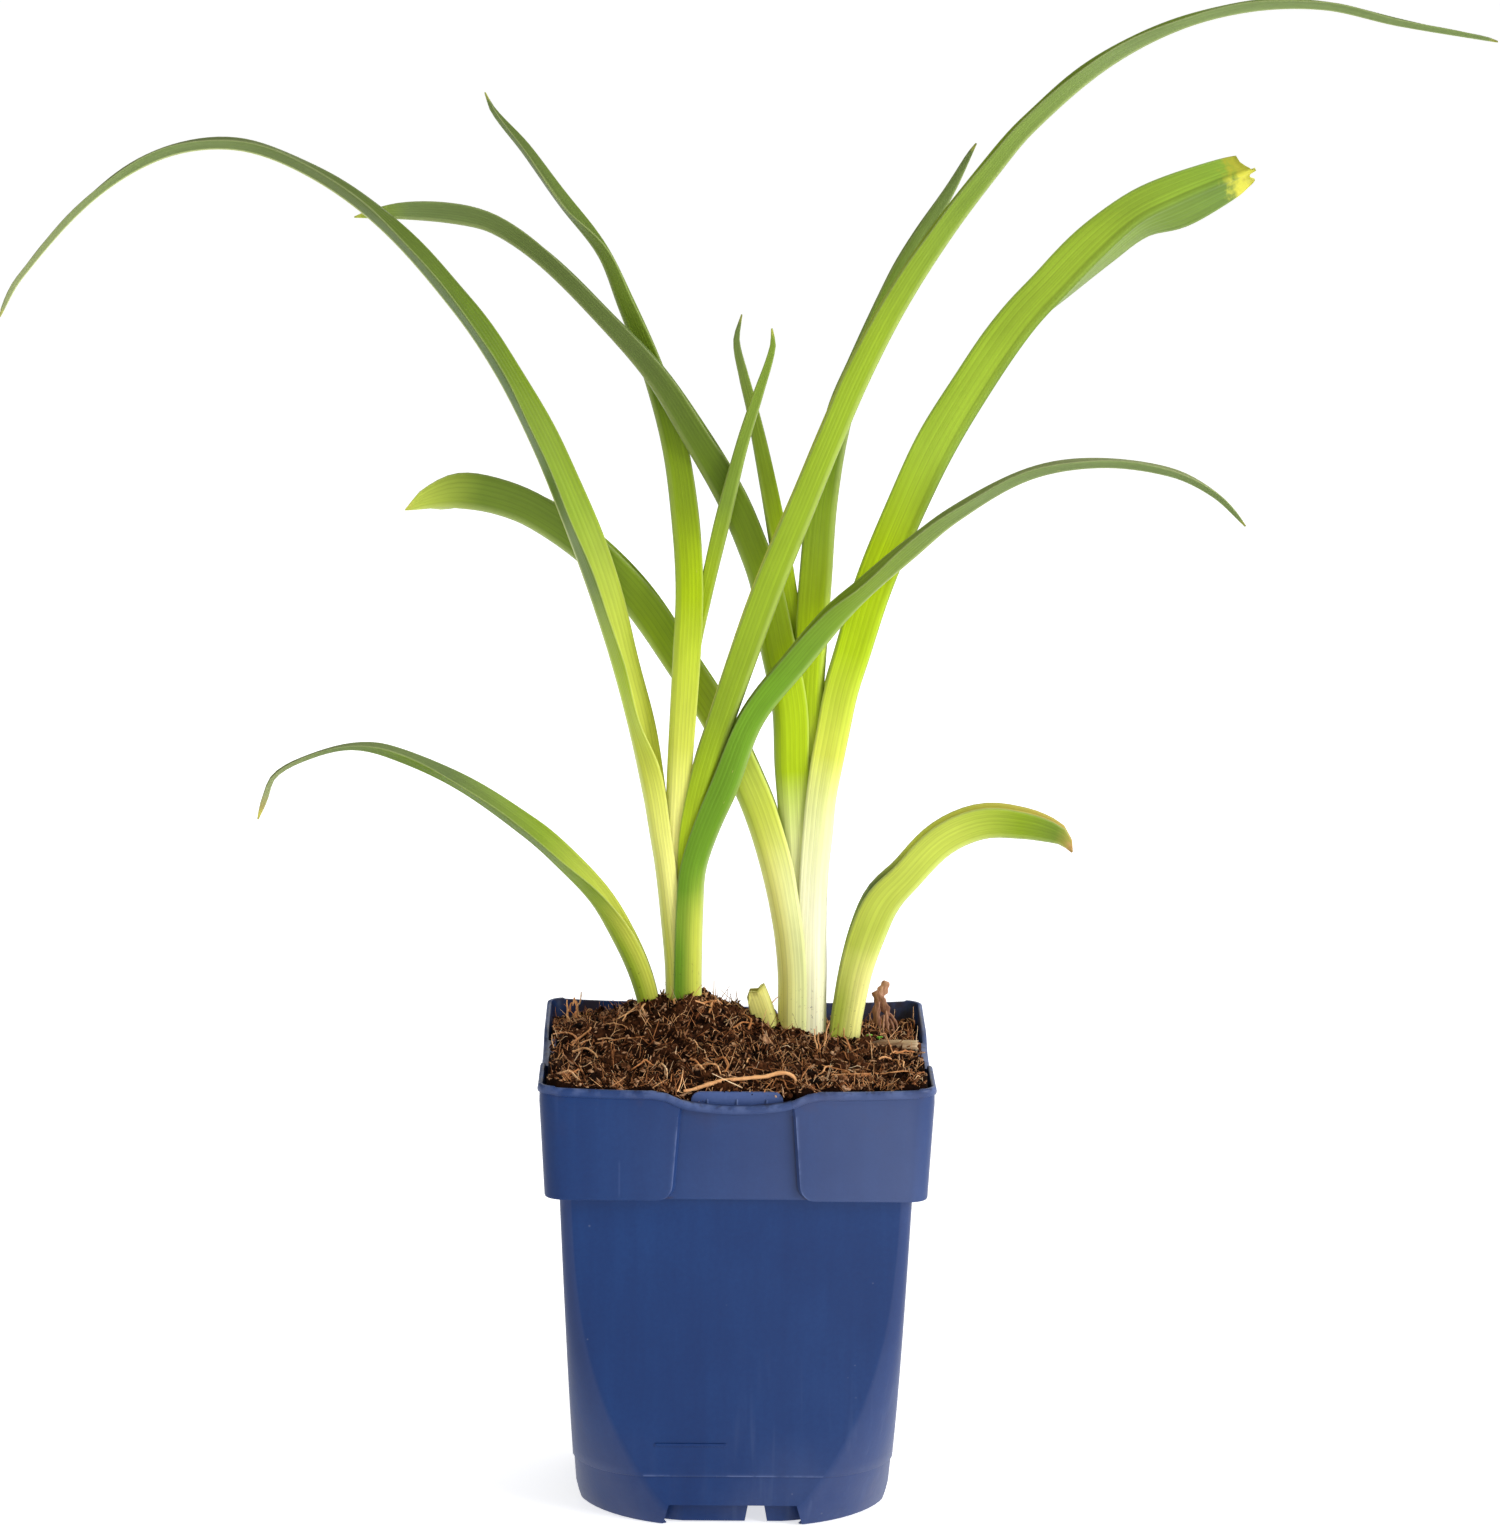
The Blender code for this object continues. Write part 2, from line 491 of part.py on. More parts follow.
def pot_rings():
    collar_bottom = POT_HEIGHT - COLLAR_HEIGHT
    shelf = collar_bottom + WALL
    ring_half = BASE_HALF - RING_INSET
    ring_corner = BASE_CORNER - RING_INSET
    foot = pot_ring(0.0, FOOT_HALF - FOOT_DRAFT, FOOT_CORNER - FOOT_DRAFT)
    rings = [foot, pot_ring(FLOOR_UNDERSIDE, FOOT_HALF, FOOT_CORNER)]
    for z, inset in ((FLOOR_UNDERSIDE, WALL), (GAP, WALL), (GAP, 0.0), (FLOOR_UNDERSIDE, 0.0)):
        rings.append(pot_ring(z, ring_half - inset, ring_corner - inset))
    for z, inset in (
        (FLOOR_UNDERSIDE, WALL + STEP_DEPTH),
        (0.0, WALL + STEP_DEPTH),
        (0.0, STEP_DEPTH),
        (STEP_HEIGHT, STEP_DEPTH),
    ):
        rings.append(pot_ring(z, body_half(z) - inset, body_corner(z) - inset))
    for z in (*BODY_HEIGHTS, collar_bottom):
        rings.append(pot_ring(z, body_half(z), body_corner(z)))
    for z in (collar_bottom, *COLLAR_HEIGHTS):
        rings.append(pot_ring(z, collar_half(z), COLLAR_CORNER, PANEL_DEPTH))
    lip = POT_HEIGHT - LIP_HEIGHT
    rings.append(pot_ring(lip, collar_half(lip), COLLAR_CORNER, PANEL_DEPTH, True))
    rings.append(pot_ring(lip, collar_half(lip), COLLAR_CORNER, 0.0, True))
    rings.append(pot_ring(POT_HEIGHT, RIM_HALF, COLLAR_CORNER, 0.0, True))
    inner_corner = COLLAR_CORNER - WALL
    rings.append(pot_ring(POT_HEIGHT, RIM_HALF - WALL, inner_corner, PANEL_DEPTH, True))
    for z in (*reversed(COLLAR_HEIGHTS[1:]), shelf):
        rings.append(pot_ring(z, collar_half(z) - WALL, inner_corner, PANEL_DEPTH))
    for z in (shelf, *reversed(BODY_HEIGHTS), FLOOR_TOP):
        rings.append(pot_ring(z, body_half(z) - WALL, body_corner(min(z, collar_bottom)) - WALL))
    dimple_inset = WALL + FOOT_DRAFT
    rings.append(pot_ring(FLOOR_TOP, FOOT_HALF - WALL, FOOT_CORNER - WALL))
    rings.append(pot_ring(WALL, FOOT_HALF - dimple_inset, FOOT_CORNER - dimple_inset))
    return rings


def make_pot(parts, cutters):
    bm = bmesh.new()
    loft(bm, pot_rings())
    pot = object_from(bm, "pot", parts, make_material("blue_plastic"))

    notches = bmesh.new()
    slots = bmesh.new()
    tabs = bmesh.new()
    near, far = NOTCH_REACH
    ring_middle = BASE_HALF - RING_INSET - WALL / 2
    taper = (RIM_HALF - COLLAR_BOTTOM_HALF) / COLLAR_HEIGHT
    tab_middle = TAB_TOP - TAB_SIZE[2] / 2
    tab_reach = collar_half(tab_middle) - PANEL_DEPTH - WALL
    notch_size = (NOTCH_WIDTH, far - near, 2 * NOTCH_HEIGHT)
    slot_size = (SLOT_BOTTOM, WALL + CUT_EXCESS, NOTCH_HEIGHT)
    slot_place = (SLOT_CENTRE, -ring_middle, NOTCH_HEIGHT / 2)
    for quarter in range(4):
        add_box(notches, notch_size, (0, -(near + far) / 2, 0), quarter)
        add_box(slots, slot_size, slot_place, quarter, narrow_top=SLOT_TOP / SLOT_BOTTOM)
        add_box(tabs, TAB_SIZE, (0, -tab_reach, tab_middle), quarter, lean=taper)
    boolean(pot, cutter_from(notches, "skirt_notches", cutters))
    boolean(pot, cutter_from(slots, "ring_slots", cutters))
    boolean(pot, cutter_from(tabs, "label_tabs", cutters), "UNION")

    drains = bmesh.new()
    floor_middle = (FLOOR_UNDERSIDE + FLOOR_TOP) / 2
    radius = DRAIN_RADIUS * MM
    depth = (WALL + 2 * CUT_EXCESS) * MM
    for index in range(DRAIN_COUNT):
        turn = 2 * math.pi * (index + 0.5) / DRAIN_COUNT
        place = (DRAIN_CIRCLE * math.cos(turn), DRAIN_CIRCLE * math.sin(turn), floor_middle)
        made = bmesh.ops.create_cone(
            drains, cap_ends=True, segments=12, radius1=radius, radius2=radius, depth=depth
        )
        bmesh.ops.translate(drains, verts=made["verts"], vec=Vector(place) * MM)
    boolean(pot, cutter_from(drains, "drain_holes", cutters))


# Potting mix

def mix_height(x, y):
    """Height of the mix: it falls towards the back, with a mound round each fan."""
    height = MIX_BACK + (MIX_FRONT - MIX_BACK) * (RIM_HALF - y) / (2 * RIM_HALF)
    for centre_x, centre_y, rise, spread_x, spread_y in MOUNDS:
        away = ((x - centre_x) / spread_x) ** 2 + ((y - centre_y) / spread_y) ** 2
        height += rise * math.exp(-away / 2)
    return height


def mix_rings():
    inset = WALL + MIX_CLEARANCE
    shelf = POT_HEIGHT - COLLAR_HEIGHT + inset
    tip_inset = inset + FOOT_DRAFT
    recess = PANEL_DEPTH + TAB_SIZE[1] / 2 + GAP / 2
    floor = FLOOR_TOP + MIX_CLEARANCE
    top = COLLAR_HEIGHTS[-1]
    rings = [pot_ring(WALL + MIX_CLEARANCE, FOOT_HALF - tip_inset, FOOT_CORNER - tip_inset)]
    rings.append(pot_ring(floor, FOOT_HALF - inset, FOOT_CORNER - inset))
    for z in (floor, *BODY_HEIGHTS, shelf):
        corner = body_corner(min(z, POT_HEIGHT - COLLAR_HEIGHT))
        rings.append(pot_ring(z, body_half(z) - inset, corner - inset))
    for z in (shelf, *COLLAR_HEIGHTS[1:-1]):
        rings.append(pot_ring(z, collar_half(z) - inset, COLLAR_CORNER - inset, recess))
    edge = pot_ring(top, collar_half(top) - inset, COLLAR_CORNER - inset, recess)
    for share in MIX_SHARES:
        ring = []
        for x, y, _ in edge:
            ring.append((share * x, share * y, mix_height(share * x, share * y)))
        rings.append(ring)
    return rings


def crown_box(bm, crown, grow=0.0, extra_top=0.0):
    (left, right), middle, depth, top, height = crown
    size = (right - left + 2 * grow, depth + 2 * grow, height + 2 * grow + extra_top)
    centre = ((left + right) / 2, middle, top - height / 2 + extra_top / 2)
    add_box(bm, size, centre)


def make_mix(parts, cutters):
    bm = bmesh.new()
    loft(bm, mix_rings())
    mix = object_from(bm, "potting_mix", parts, make_material("peat_mix"))
    for name, crown in (("left_pocket", CROWN_LEFT), ("right_pocket", CROWN_RIGHT)):
        pocket = bmesh.new()
        crown_box(pocket, crown, GAP, POCKET_RISE)
        boolean(mix, cutter_from(pocket, name, cutters))


def make_crown(name, crown, parts, material):
    bm = bmesh.new()
    crown_box(bm, crown)
    made = object_from(bm, name, parts, material)
    bevel = made.modifiers.new("rounding", "BEVEL")
    bevel.width = CROWN_BEVEL * MM
    bevel.segments = 2


# Leaves

def blend_rows(rows, stations):
    """Reads a smooth curve through the rows, at equal steps of length along the leaf."""
    lengths = [0.0]
    for before, after in zip(rows, rows[1:]):
        lengths.append(lengths[-1] + math.dist(before[:3], after[:3]))
    blended = []
    for index in range(stations):
        place = lengths[-1] * index / (stations - 1)
        k = 0
        while k < len(rows) - 2 and lengths[k + 1] < place:
            k += 1
        span = lengths[k + 1] - lengths[k]
        t = (place - lengths[k]) / span
        values = []
        for column in range(len(rows[0])):
            start, end = rows[k][column], rows[k + 1][column]
            if k > 0:
                slope_in = (end - rows[k - 1][column]) / (lengths[k + 1] - lengths[k - 1])
            else:
                slope_in = (end - start) / span
            if k < len(rows) - 2:
                slope_out = (rows[k + 2][column] - start) / (lengths[k + 2] - lengths[k])
            else:
                slope_out = (end - start) / span
            cubic = (
                (2 * t**3 - 3 * t**2 + 1) * start
                + (t**3 - 2 * t**2 + t) * span * slope_in
                + (3 * t**2 - 2 * t**3) * end
                + (t**3 - t**2) * span * slope_out
            )
            values.append(cubic)
        blended.append(values)
    return blended


def fold_room(distance, room):
    """Half the room inside the fold this far from the keel: a rounded bottom, then parallel."""
    radius = min(FOLD_RADIUS, max(room, 0.05))
    if distance >= radius:
        return room
    return room * math.sqrt(1 - (1 - distance / radius) ** 2)


def leaf_section(half_width, room, opening, roll, thickness):
    """The blade's cross-section as (away from the keel, towards the viewer) points, outside then inside."""
    middle = []
    for u in ACROSS:
        sign = 1 if u >= 0 else -1
        angle = math.radians(opening + sign * roll)
        distance = abs(u) * half_width
        away = distance * math.cos(angle)
        front = sign * (fold_room(distance, room) + distance * math.sin(angle))
        middle.append(Vector((away, front)))
    outside, inside = [], []
    for i, point in enumerate(middle):
        before = middle[max(i - 1, 0)]
        after = middle[min(i + 1, len(middle) - 1)]
        along_in = (point - before).normalized() if point != before else (after - point).normalized()
        along_out = (after - point).normalized() if point != after else along_in
        along = (along_in + along_out).normalized()
        normal = Vector((-along.y, along.x))
        reach = min(1.6, 1 / max(0.4, along.dot(along_out)))
        half = 0.5 * thickness * (1 - MARGIN_THINNING * abs(ACROSS[i]) ** 3)
        outside.append(point + normal * half * reach)
        inside.append(point - normal * half * reach)
    return outside + inside[::-1]


def make_leaf(name, leaf, parts, material):
    stations = blend_rows(leaf["rows"], leaf["stations"])
    towards_viewer = Vector((0, -1, 0))
    rings = []
    for i, (x, y, z, half_width, room, opening, roll) in enumerate(stations):
        before = Vector(stations[max(i - 1, 0)][:3])
        after = Vector(stations[min(i + 1, len(stations) - 1)][:3])
        along = (after - before).normalized()
        front = (towards_viewer - along * along.dot(towards_viewer)).normalized()
        away = along.cross(front)
        if away.dot(Vector((-along.z, 0, along.x)) * leaf["keel_side"]) < 0:
            away = -away
        thickness = LEAF_THICKNESS * min(1.0, TIP_THICKNESS + half_width / TIP_WIDTH)
        keel = Vector((x, y, z))
        section = leaf_section(max(half_width, 0.4), max(room, 0.1), opening, roll, thickness)
        rings.append([keel + away * point.x + front * point.y for point in section])
    bm = bmesh.new()
    made = loft(bm, rings, capped=False)
    count = len(ACROSS)
    for ring in (made[0], made[-1]):
        for i in range(count - 1):
            bm.faces.new((ring[i], ring[i + 1], ring[-2 - i], ring[-1 - i]))
    object_from(bm, name, parts, material)


# Pieces on the mix

def make_root(parts, material):
    curve = bpy.data.curves.new("surface_root", "CURVE")
    curve.dimensions = "3D"
    curve.bevel_depth = ROOT_RADIUS * MM
    curve.bevel_resolution = 1
    curve.use_fill_caps = True
    clearance = ROOT_RADIUS + GAP + ROOT_CLEARANCE
    rows = [(x, y, mix_height(x, y) + clearance + lift) for x, y, lift in ROOT_ROUTE]
    points = blend_rows(rows, ROOT_STEPS * len(rows))
    spline = curve.splines.new("POLY")
    spline.points.add(len(points) - 1)
    for target, point in zip(spline.points, points):
        target.co = (*(value * MM for value in point), 1.0)
    curve.materials.append(material)
    root = bpy.data.objects.new("surface_root", curve)
    parts.objects.link(root)


def make_chip(parts, material):
    bm = bmesh.new()
    add_box(bm, CHIP_SIZE, (0, 0, CHIP_SIZE[2] / 2), narrow_top=CHIP_TAPER)
    chip = object_from(bm, "bark_chip", parts, material)
    x, y = CHIP_PLACE
    ends = (x - CHIP_SIZE[0] / 2, x + CHIP_SIZE[0] / 2)
    sides = (y - CHIP_SIZE[1] / 2, y + CHIP_SIZE[1] / 2)
    highest = max(mix_height(end, side) for end in ends for side in sides)
    chip.location = Vector((x, y, highest + GAP)) * MM
    chip.rotation_euler = (0, 0, math.radians(CHIP_TURN))
    bevel = chip.modifiers.new("rounding", "BEVEL")
    bevel.width = CHIP_BEVEL * MM
    bevel.segments = 1


def main():
    clear_scene()
    parts = make_collection("potted_daylily")
    cutters = make_collection("cutters", hidden=True)
    make_pot(parts, cutters)
    make_mix(parts, cutters)

    crown_skin = make_material("crown")
    green = make_material("leaf_green")
    grey_green = make_material("leaf_grey_green")
    lime = make_material("leaf_lime")
    make_crown("crown_left", CROWN_LEFT, parts, crown_skin)
    make_crown("crown_right", CROWN_RIGHT, parts, crown_skin)
    leaves = (
        ("left_leaf_1", LEFT_LOW_LEAF, grey_green),
        ("left_leaf_2", LEFT_FRONT_LEAF, green),
        ("left_leaf_3", LEFT_ARCHING_LEAF, green),
        ("left_leaf_4", LEFT_TALL_LEAF, lime),
        ("left_leaf_5", LEFT_UPRIGHT_LEAF, green),
        ("left_leaf_6", LEFT_YOUNG_LEAF, lime),
        ("right_leaf_1", RIGHT_LOW_LEAF, lime),
        ("right_leaf_2", RIGHT_CROSSING_LEAF, green),
        ("right_leaf_3", RIGHT_BROAD_LEAF, lime),
        ("right_leaf_4", RIGHT_ARCHING_LEAF, grey_green),
        ("right_leaf_5", RIGHT_UPRIGHT_LEAF, green),
        ("right_leaf_6", RIGHT_YOUNG_LEAF, lime),
        ("cut_leaf_stub", CUT_STUB, lime),
        ("dry_leaf_scrap", DRY_SCRAP, make_material("dry_straw")),
    )
    for name, leaf, material in leaves:
        make_leaf(name, leaf, parts, material)
    make_root(parts, make_material("root_tan"))
    make_chip(parts, make_material("bark"))


main()
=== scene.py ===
# Potted daylily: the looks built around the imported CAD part.
# Sizes are in millimetres until a mesh is made; everything rides on the pot's own frame.
import math

import bmesh
import bpy
import numpy as np
from mathutils import Matrix, Vector


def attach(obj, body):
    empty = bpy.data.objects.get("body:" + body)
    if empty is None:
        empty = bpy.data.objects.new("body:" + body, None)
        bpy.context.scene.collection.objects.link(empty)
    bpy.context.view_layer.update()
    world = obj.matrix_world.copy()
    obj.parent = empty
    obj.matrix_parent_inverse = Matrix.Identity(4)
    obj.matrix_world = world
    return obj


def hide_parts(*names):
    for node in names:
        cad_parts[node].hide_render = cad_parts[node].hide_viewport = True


mm = 0.001
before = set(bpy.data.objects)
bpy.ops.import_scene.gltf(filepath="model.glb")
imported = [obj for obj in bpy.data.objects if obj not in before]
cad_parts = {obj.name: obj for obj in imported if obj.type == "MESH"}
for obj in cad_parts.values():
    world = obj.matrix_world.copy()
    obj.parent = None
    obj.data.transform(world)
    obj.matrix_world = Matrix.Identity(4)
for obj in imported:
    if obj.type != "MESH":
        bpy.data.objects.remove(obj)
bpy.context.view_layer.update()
print("frame loaded:", len(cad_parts), "CAD nodes")


def screenTone(*levels):
    # a colour as a screen shows it, 0 to 255, made linear
    shares = [level / 255 for level in levels]
    return tuple(v / 12.92 if v <= 0.04045 else ((v + 0.055) / 1.055) ** 2.4 for v in shares)


class Value:
    # one socket of a finish; arithmetic on it adds Math nodes
    def __init__(self, finish, socket):
        self.finish = finish
        self.socket = socket

    def __add__(self, other):
        return self.finish.maths("ADD", self, other)

    def __sub__(self, other):
        return self.finish.maths("SUBTRACT", self, other)

    def __rsub__(self, other):
        return self.finish.maths("SUBTRACT", other, self)

    def __mul__(self, other):
        return self.finish.maths("MULTIPLY", self, other)

    def __pow__(self, other):
        return self.finish.maths("POWER", self, other)

    def __lt__(self, other):
        return self.finish.maths("LESS_THAN", self, other)

    def __abs__(self):
        return self.finish.maths("ABSOLUTE", self)

    __radd__ = __add__
    __rmul__ = __mul__


class Finish:
    # a procedural material: every node goes in through node()
    def __init__(self, name):
        self.material = bpy.data.materials.new(name)
        self.material.use_nodes = True
        self.tree = self.material.node_tree
        self.shader = self.tree.nodes["Principled BSDF"]

    def node(self, kind, settings=None, inputs=None, output=0):
        made = self.tree.nodes.new("ShaderNode" + kind)
        for key, value in (settings or {}).items():
            if key == "stops":
                self.fillRamp(made.color_ramp, value)
            else:
                setattr(made, key, value)
        for key, value in (inputs or {}).items():
            self.feed(made.inputs[key], value)
        return Value(self, made.outputs[output])

    def feed(self, socket, value):
        if isinstance(value, Value):
            self.tree.links.new(value.socket, socket)
        else:
            socket.default_value = value

    def fillRamp(self, ramp, stops):
        while len(ramp.elements) < len(stops):
            ramp.elements.new(1.0)
        for element, (place, colour) in zip(ramp.elements, stops):
            element.position = place
            element.color = (*colour, 1.0)

    def maths(self, operation, first, second=None):
        inputs = {0: first}
        if second is not None:
            inputs[1] = second
        return self.node("Math", {"operation": operation}, inputs)

    def measure(self, name):
        return self.node("Attribute", {"attribute_name": name}, output="Fac")

    def place(self):
        return self.node("TexCoord", output="Object")

    def stretched(self, vector, scale):
        return self.node("Mapping", inputs={"Vector": vector, "Scale": scale})

    def axis(self, vector, index):
        return self.node("SeparateXYZ", inputs={0: vector}, output=index)

    def point(self, x, y, z=0.0):
        return self.node("CombineXYZ", inputs={0: x, 1: y, 2: z})

    def grain(self, vector, scale, detail=3.0, roughness=0.55):
        inputs = {"Vector": vector, "Scale": scale, "Detail": detail, "Roughness": roughness}
        return self.node("TexNoise", inputs=inputs)

    def cells(self, vector, scale, feature="F1"):
        return self.node("TexVoronoi", {"feature": feature}, {"Vector": vector, "Scale": scale})

    def ease(self, value, low, high, start=0.0, end=1.0):
        inputs = {0: value, 1: low, 2: high, 3: start, 4: end}
        return self.node("MapRange", {"interpolation_type": "SMOOTHSTEP"}, inputs)

    def ramp(self, value, stops):
        return self.node("ValToRGB", {"stops": stops}, {0: value})

    def mixed(self, share, under, over, mode="MIX"):
        under = under if isinstance(under, Value) else (*under, 1.0)
        over = over if isinstance(over, Value) else (*over, 1.0)
        settings = {"data_type": "RGBA", "blend_type": mode}
        return self.node("Mix", settings, {0: share, 6: under, 7: over}, 2)

    def bump(self, height, distance, strength=1.0):
        inputs = {"Height": height, "Distance": distance, "Strength": strength}
        return self.node("Bump", inputs=inputs)

    def wear(self, **sockets):
        # the Principled shader's own sockets, by name with spaces taken out
        names = {socket.name.replace(" ", ""): socket for socket in self.shader.inputs}
        for key, value in sockets.items():
            self.feed(names[key], value)
        return self.material


def addPiece(name, mesh, finish, nodes, smooth=True):
    piece = bpy.data.objects.new(name, mesh)
    bpy.context.scene.collection.objects.link(piece)
    mesh.materials.append(finish.material)
    if smooth:
        mesh.shade_smooth()
    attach(piece, "root")
    if nodes:
        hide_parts(*nodes)
    return piece


def meshFrom(name, points, faces, measures=None):
    # points in millimetres, faces as rows of equal length
    mesh = bpy.data.meshes.new(name)
    mesh.from_pydata((np.asarray(points) * mm).tolist(), [], np.asarray(faces).tolist())
    for key, values in (measures or {}).items():
        layer = mesh.attributes.new(key, "FLOAT", "POINT")
        layer.data.foreach_set("value", np.asarray(values, np.float32).ravel())
    mesh.update()
    return mesh


def closedBand(rings, columns, wrap=True):
    # quads between neighbouring rings of equally many points
    faces = []
    for i in range(rings - 1):
        for j in range(columns if wrap else columns - 1):
            k = (j + 1) % columns
            faces.append(
                (i * columns + j, i * columns + k, (i + 1) * columns + k, (i + 1) * columns + j)
            )
    return faces


# camera, first of all
studio = {
    "cameraPlace": (-14.7, -1550.0, 499.5),
    "lookDown": 10.58, "turn": -0.66, "lean": 0.61,
    "lens": 131.38,
    "floorSize": 24.0, "floorDrop": 0.15,
    "floorTone": 0.88, "floorGlow": 0.66, "floorRoughness": 0.9, "floorGloss": 0.1,
    "skyStrength": 0.41, "lampTarget": (0.0, 0.0, 0.2),
    "lamps": {  # metres: place, size, power
        "keyLamp": ((1.6, -1.0, 0.85), (1.0, 1.2), 32.5),
        "fillLamp": ((-1.6, -1.0, 0.9), (1.2, 1.4), 1.9),
        "backLamp": ((0.5, 1.5, 1.3), (1.6, 1.2), 11.0),
    },
}


def makeCamera():
    data = bpy.data.cameras.new("studioCamera")
    data.lens = studio["lens"]
    data.sensor_width = 36.0
    data.clip_end = 60.0
    camera = bpy.data.objects.new("studioCamera", data)
    bpy.context.scene.collection.objects.link(camera)
    turned = (
        Matrix.Rotation(math.radians(studio["turn"]), 4, "Z")
        @ Matrix.Rotation(math.radians(90.0 - studio["lookDown"]), 4, "X")
        @ Matrix.Rotation(math.radians(studio["lean"]), 4, "Z")
    )
    camera.matrix_world = Matrix.Translation(Vector(studio["cameraPlace"]) * mm) @ turned
    bpy.context.scene.camera = camera


makeCamera()

# leaves
leafWork = {
    "step": 2.4,  # length of one mesh row
    "across": 12,  # columns on each side of the keel
    "thickness": 0.8, "foldRadius": 3.0, "marginThinning": 0.55,
    "tipThickness": 0.4, "tipWidth": 6.0,
    "keelRib": 0.22, "edgeWave": 0.16,
    "veins": 7.0, "veinTone": 0.18, "marginTone": 0.16, "keelTone": 0.22, "keelWidth": 0.2,
    "roughness": 0.45, "glow": 0.06, "gloss": 0.16,
}


def blendRows(rows, count):
    # a smooth curve through the rows, read at equal steps of its length
    rows = np.array(rows, float)
    lengths = np.concatenate(
        [[0.0], np.cumsum(np.linalg.norm(np.diff(rows[:, :3], axis=0), axis=1))]
    )
    slopes = np.empty_like(rows)
    slopes[1:-1] = (rows[2:] - rows[:-2]) / (lengths[2:] - lengths[:-2])[:, None]
    slopes[0] = (rows[1] - rows[0]) / lengths[1]
    slopes[-1] = (rows[-1] - rows[-2]) / (lengths[-1] - lengths[-2])
    places = np.linspace(0.0, lengths[-1], count)
    k = np.clip(np.searchsorted(lengths, places, "right") - 1, 0, len(rows) - 2)
    span = (lengths[k + 1] - lengths[k])[:, None]
    t = (places - lengths[k])[:, None] / span
    blended = (
        (2 * t**3 - 3 * t**2 + 1) * rows[k]
        + (t**3 - 2 * t**2 + t) * span * slopes[k]
        + (3 * t**2 - 2 * t**3) * rows[k + 1]
        + (t**3 - t**2) * span * slopes[k + 1]
    )
    return places, blended


def foldRoom(distance, room):
    radius = np.minimum(leafWork["foldRadius"], np.maximum(room, 0.05))
    rounded = np.sqrt(np.clip(1 - (1 - np.minimum(distance / radius, 1.0)) ** 2, 0, 1))
    return room * rounded


def acrossShares():
    # closer together at the keel and at the margins
    steps = np.linspace(-1, 1, 2 * leafWork["across"] + 1)
    return np.sign(steps) * (0.5 * np.abs(steps) ** 2.2 + 0.5 * (1 - (1 - np.abs(steps)) ** 1.5))


def bladeSections(rows, shares, places):
    # (away from the keel, towards the viewer) points of the outer and the inner skin
    half = np.maximum(rows[:, 3:4], 0.25)
    room = np.maximum(rows[:, 4:5], 0.1)
    side = np.where(shares >= 0, 1.0, -1.0)[None, :]
    angle = np.radians(rows[:, 5:6] + side * rows[:, 6:7])
    distance = np.abs(shares)[None, :] * half
    away = distance * np.cos(angle)
    front = side * (foldRoom(distance, room) + distance * np.sin(angle))
    middle = np.stack([away, front], axis=2)
    along = np.gradient(middle, axis=1)
    along /= np.maximum(np.linalg.norm(along, axis=2, keepdims=True), 1e-9)
    normal = np.stack([-along[..., 1], along[..., 0]], axis=2)
    full = leafWork["thickness"] * np.minimum(
        1.0, leafWork["tipThickness"] + half / leafWork["tipWidth"],
    )
    thin = 0.5 * full * (1 - leafWork["marginThinning"] * np.abs(shares)[None, :] ** 3)
    rib = leafWork["keelRib"] * np.exp(-((distance / 0.7) ** 2)) * np.minimum(1.0, half / 5.0)
    wave = leafWork["edgeWave"] * np.abs(shares)[None, :] ** 4 * np.sin(
        places[:, None] * 0.21 + side
    )
    outer = middle + normal * (thin + rib + wave)[..., None]
    inner = middle - normal * (thin - wave)[..., None]
    return outer, inner


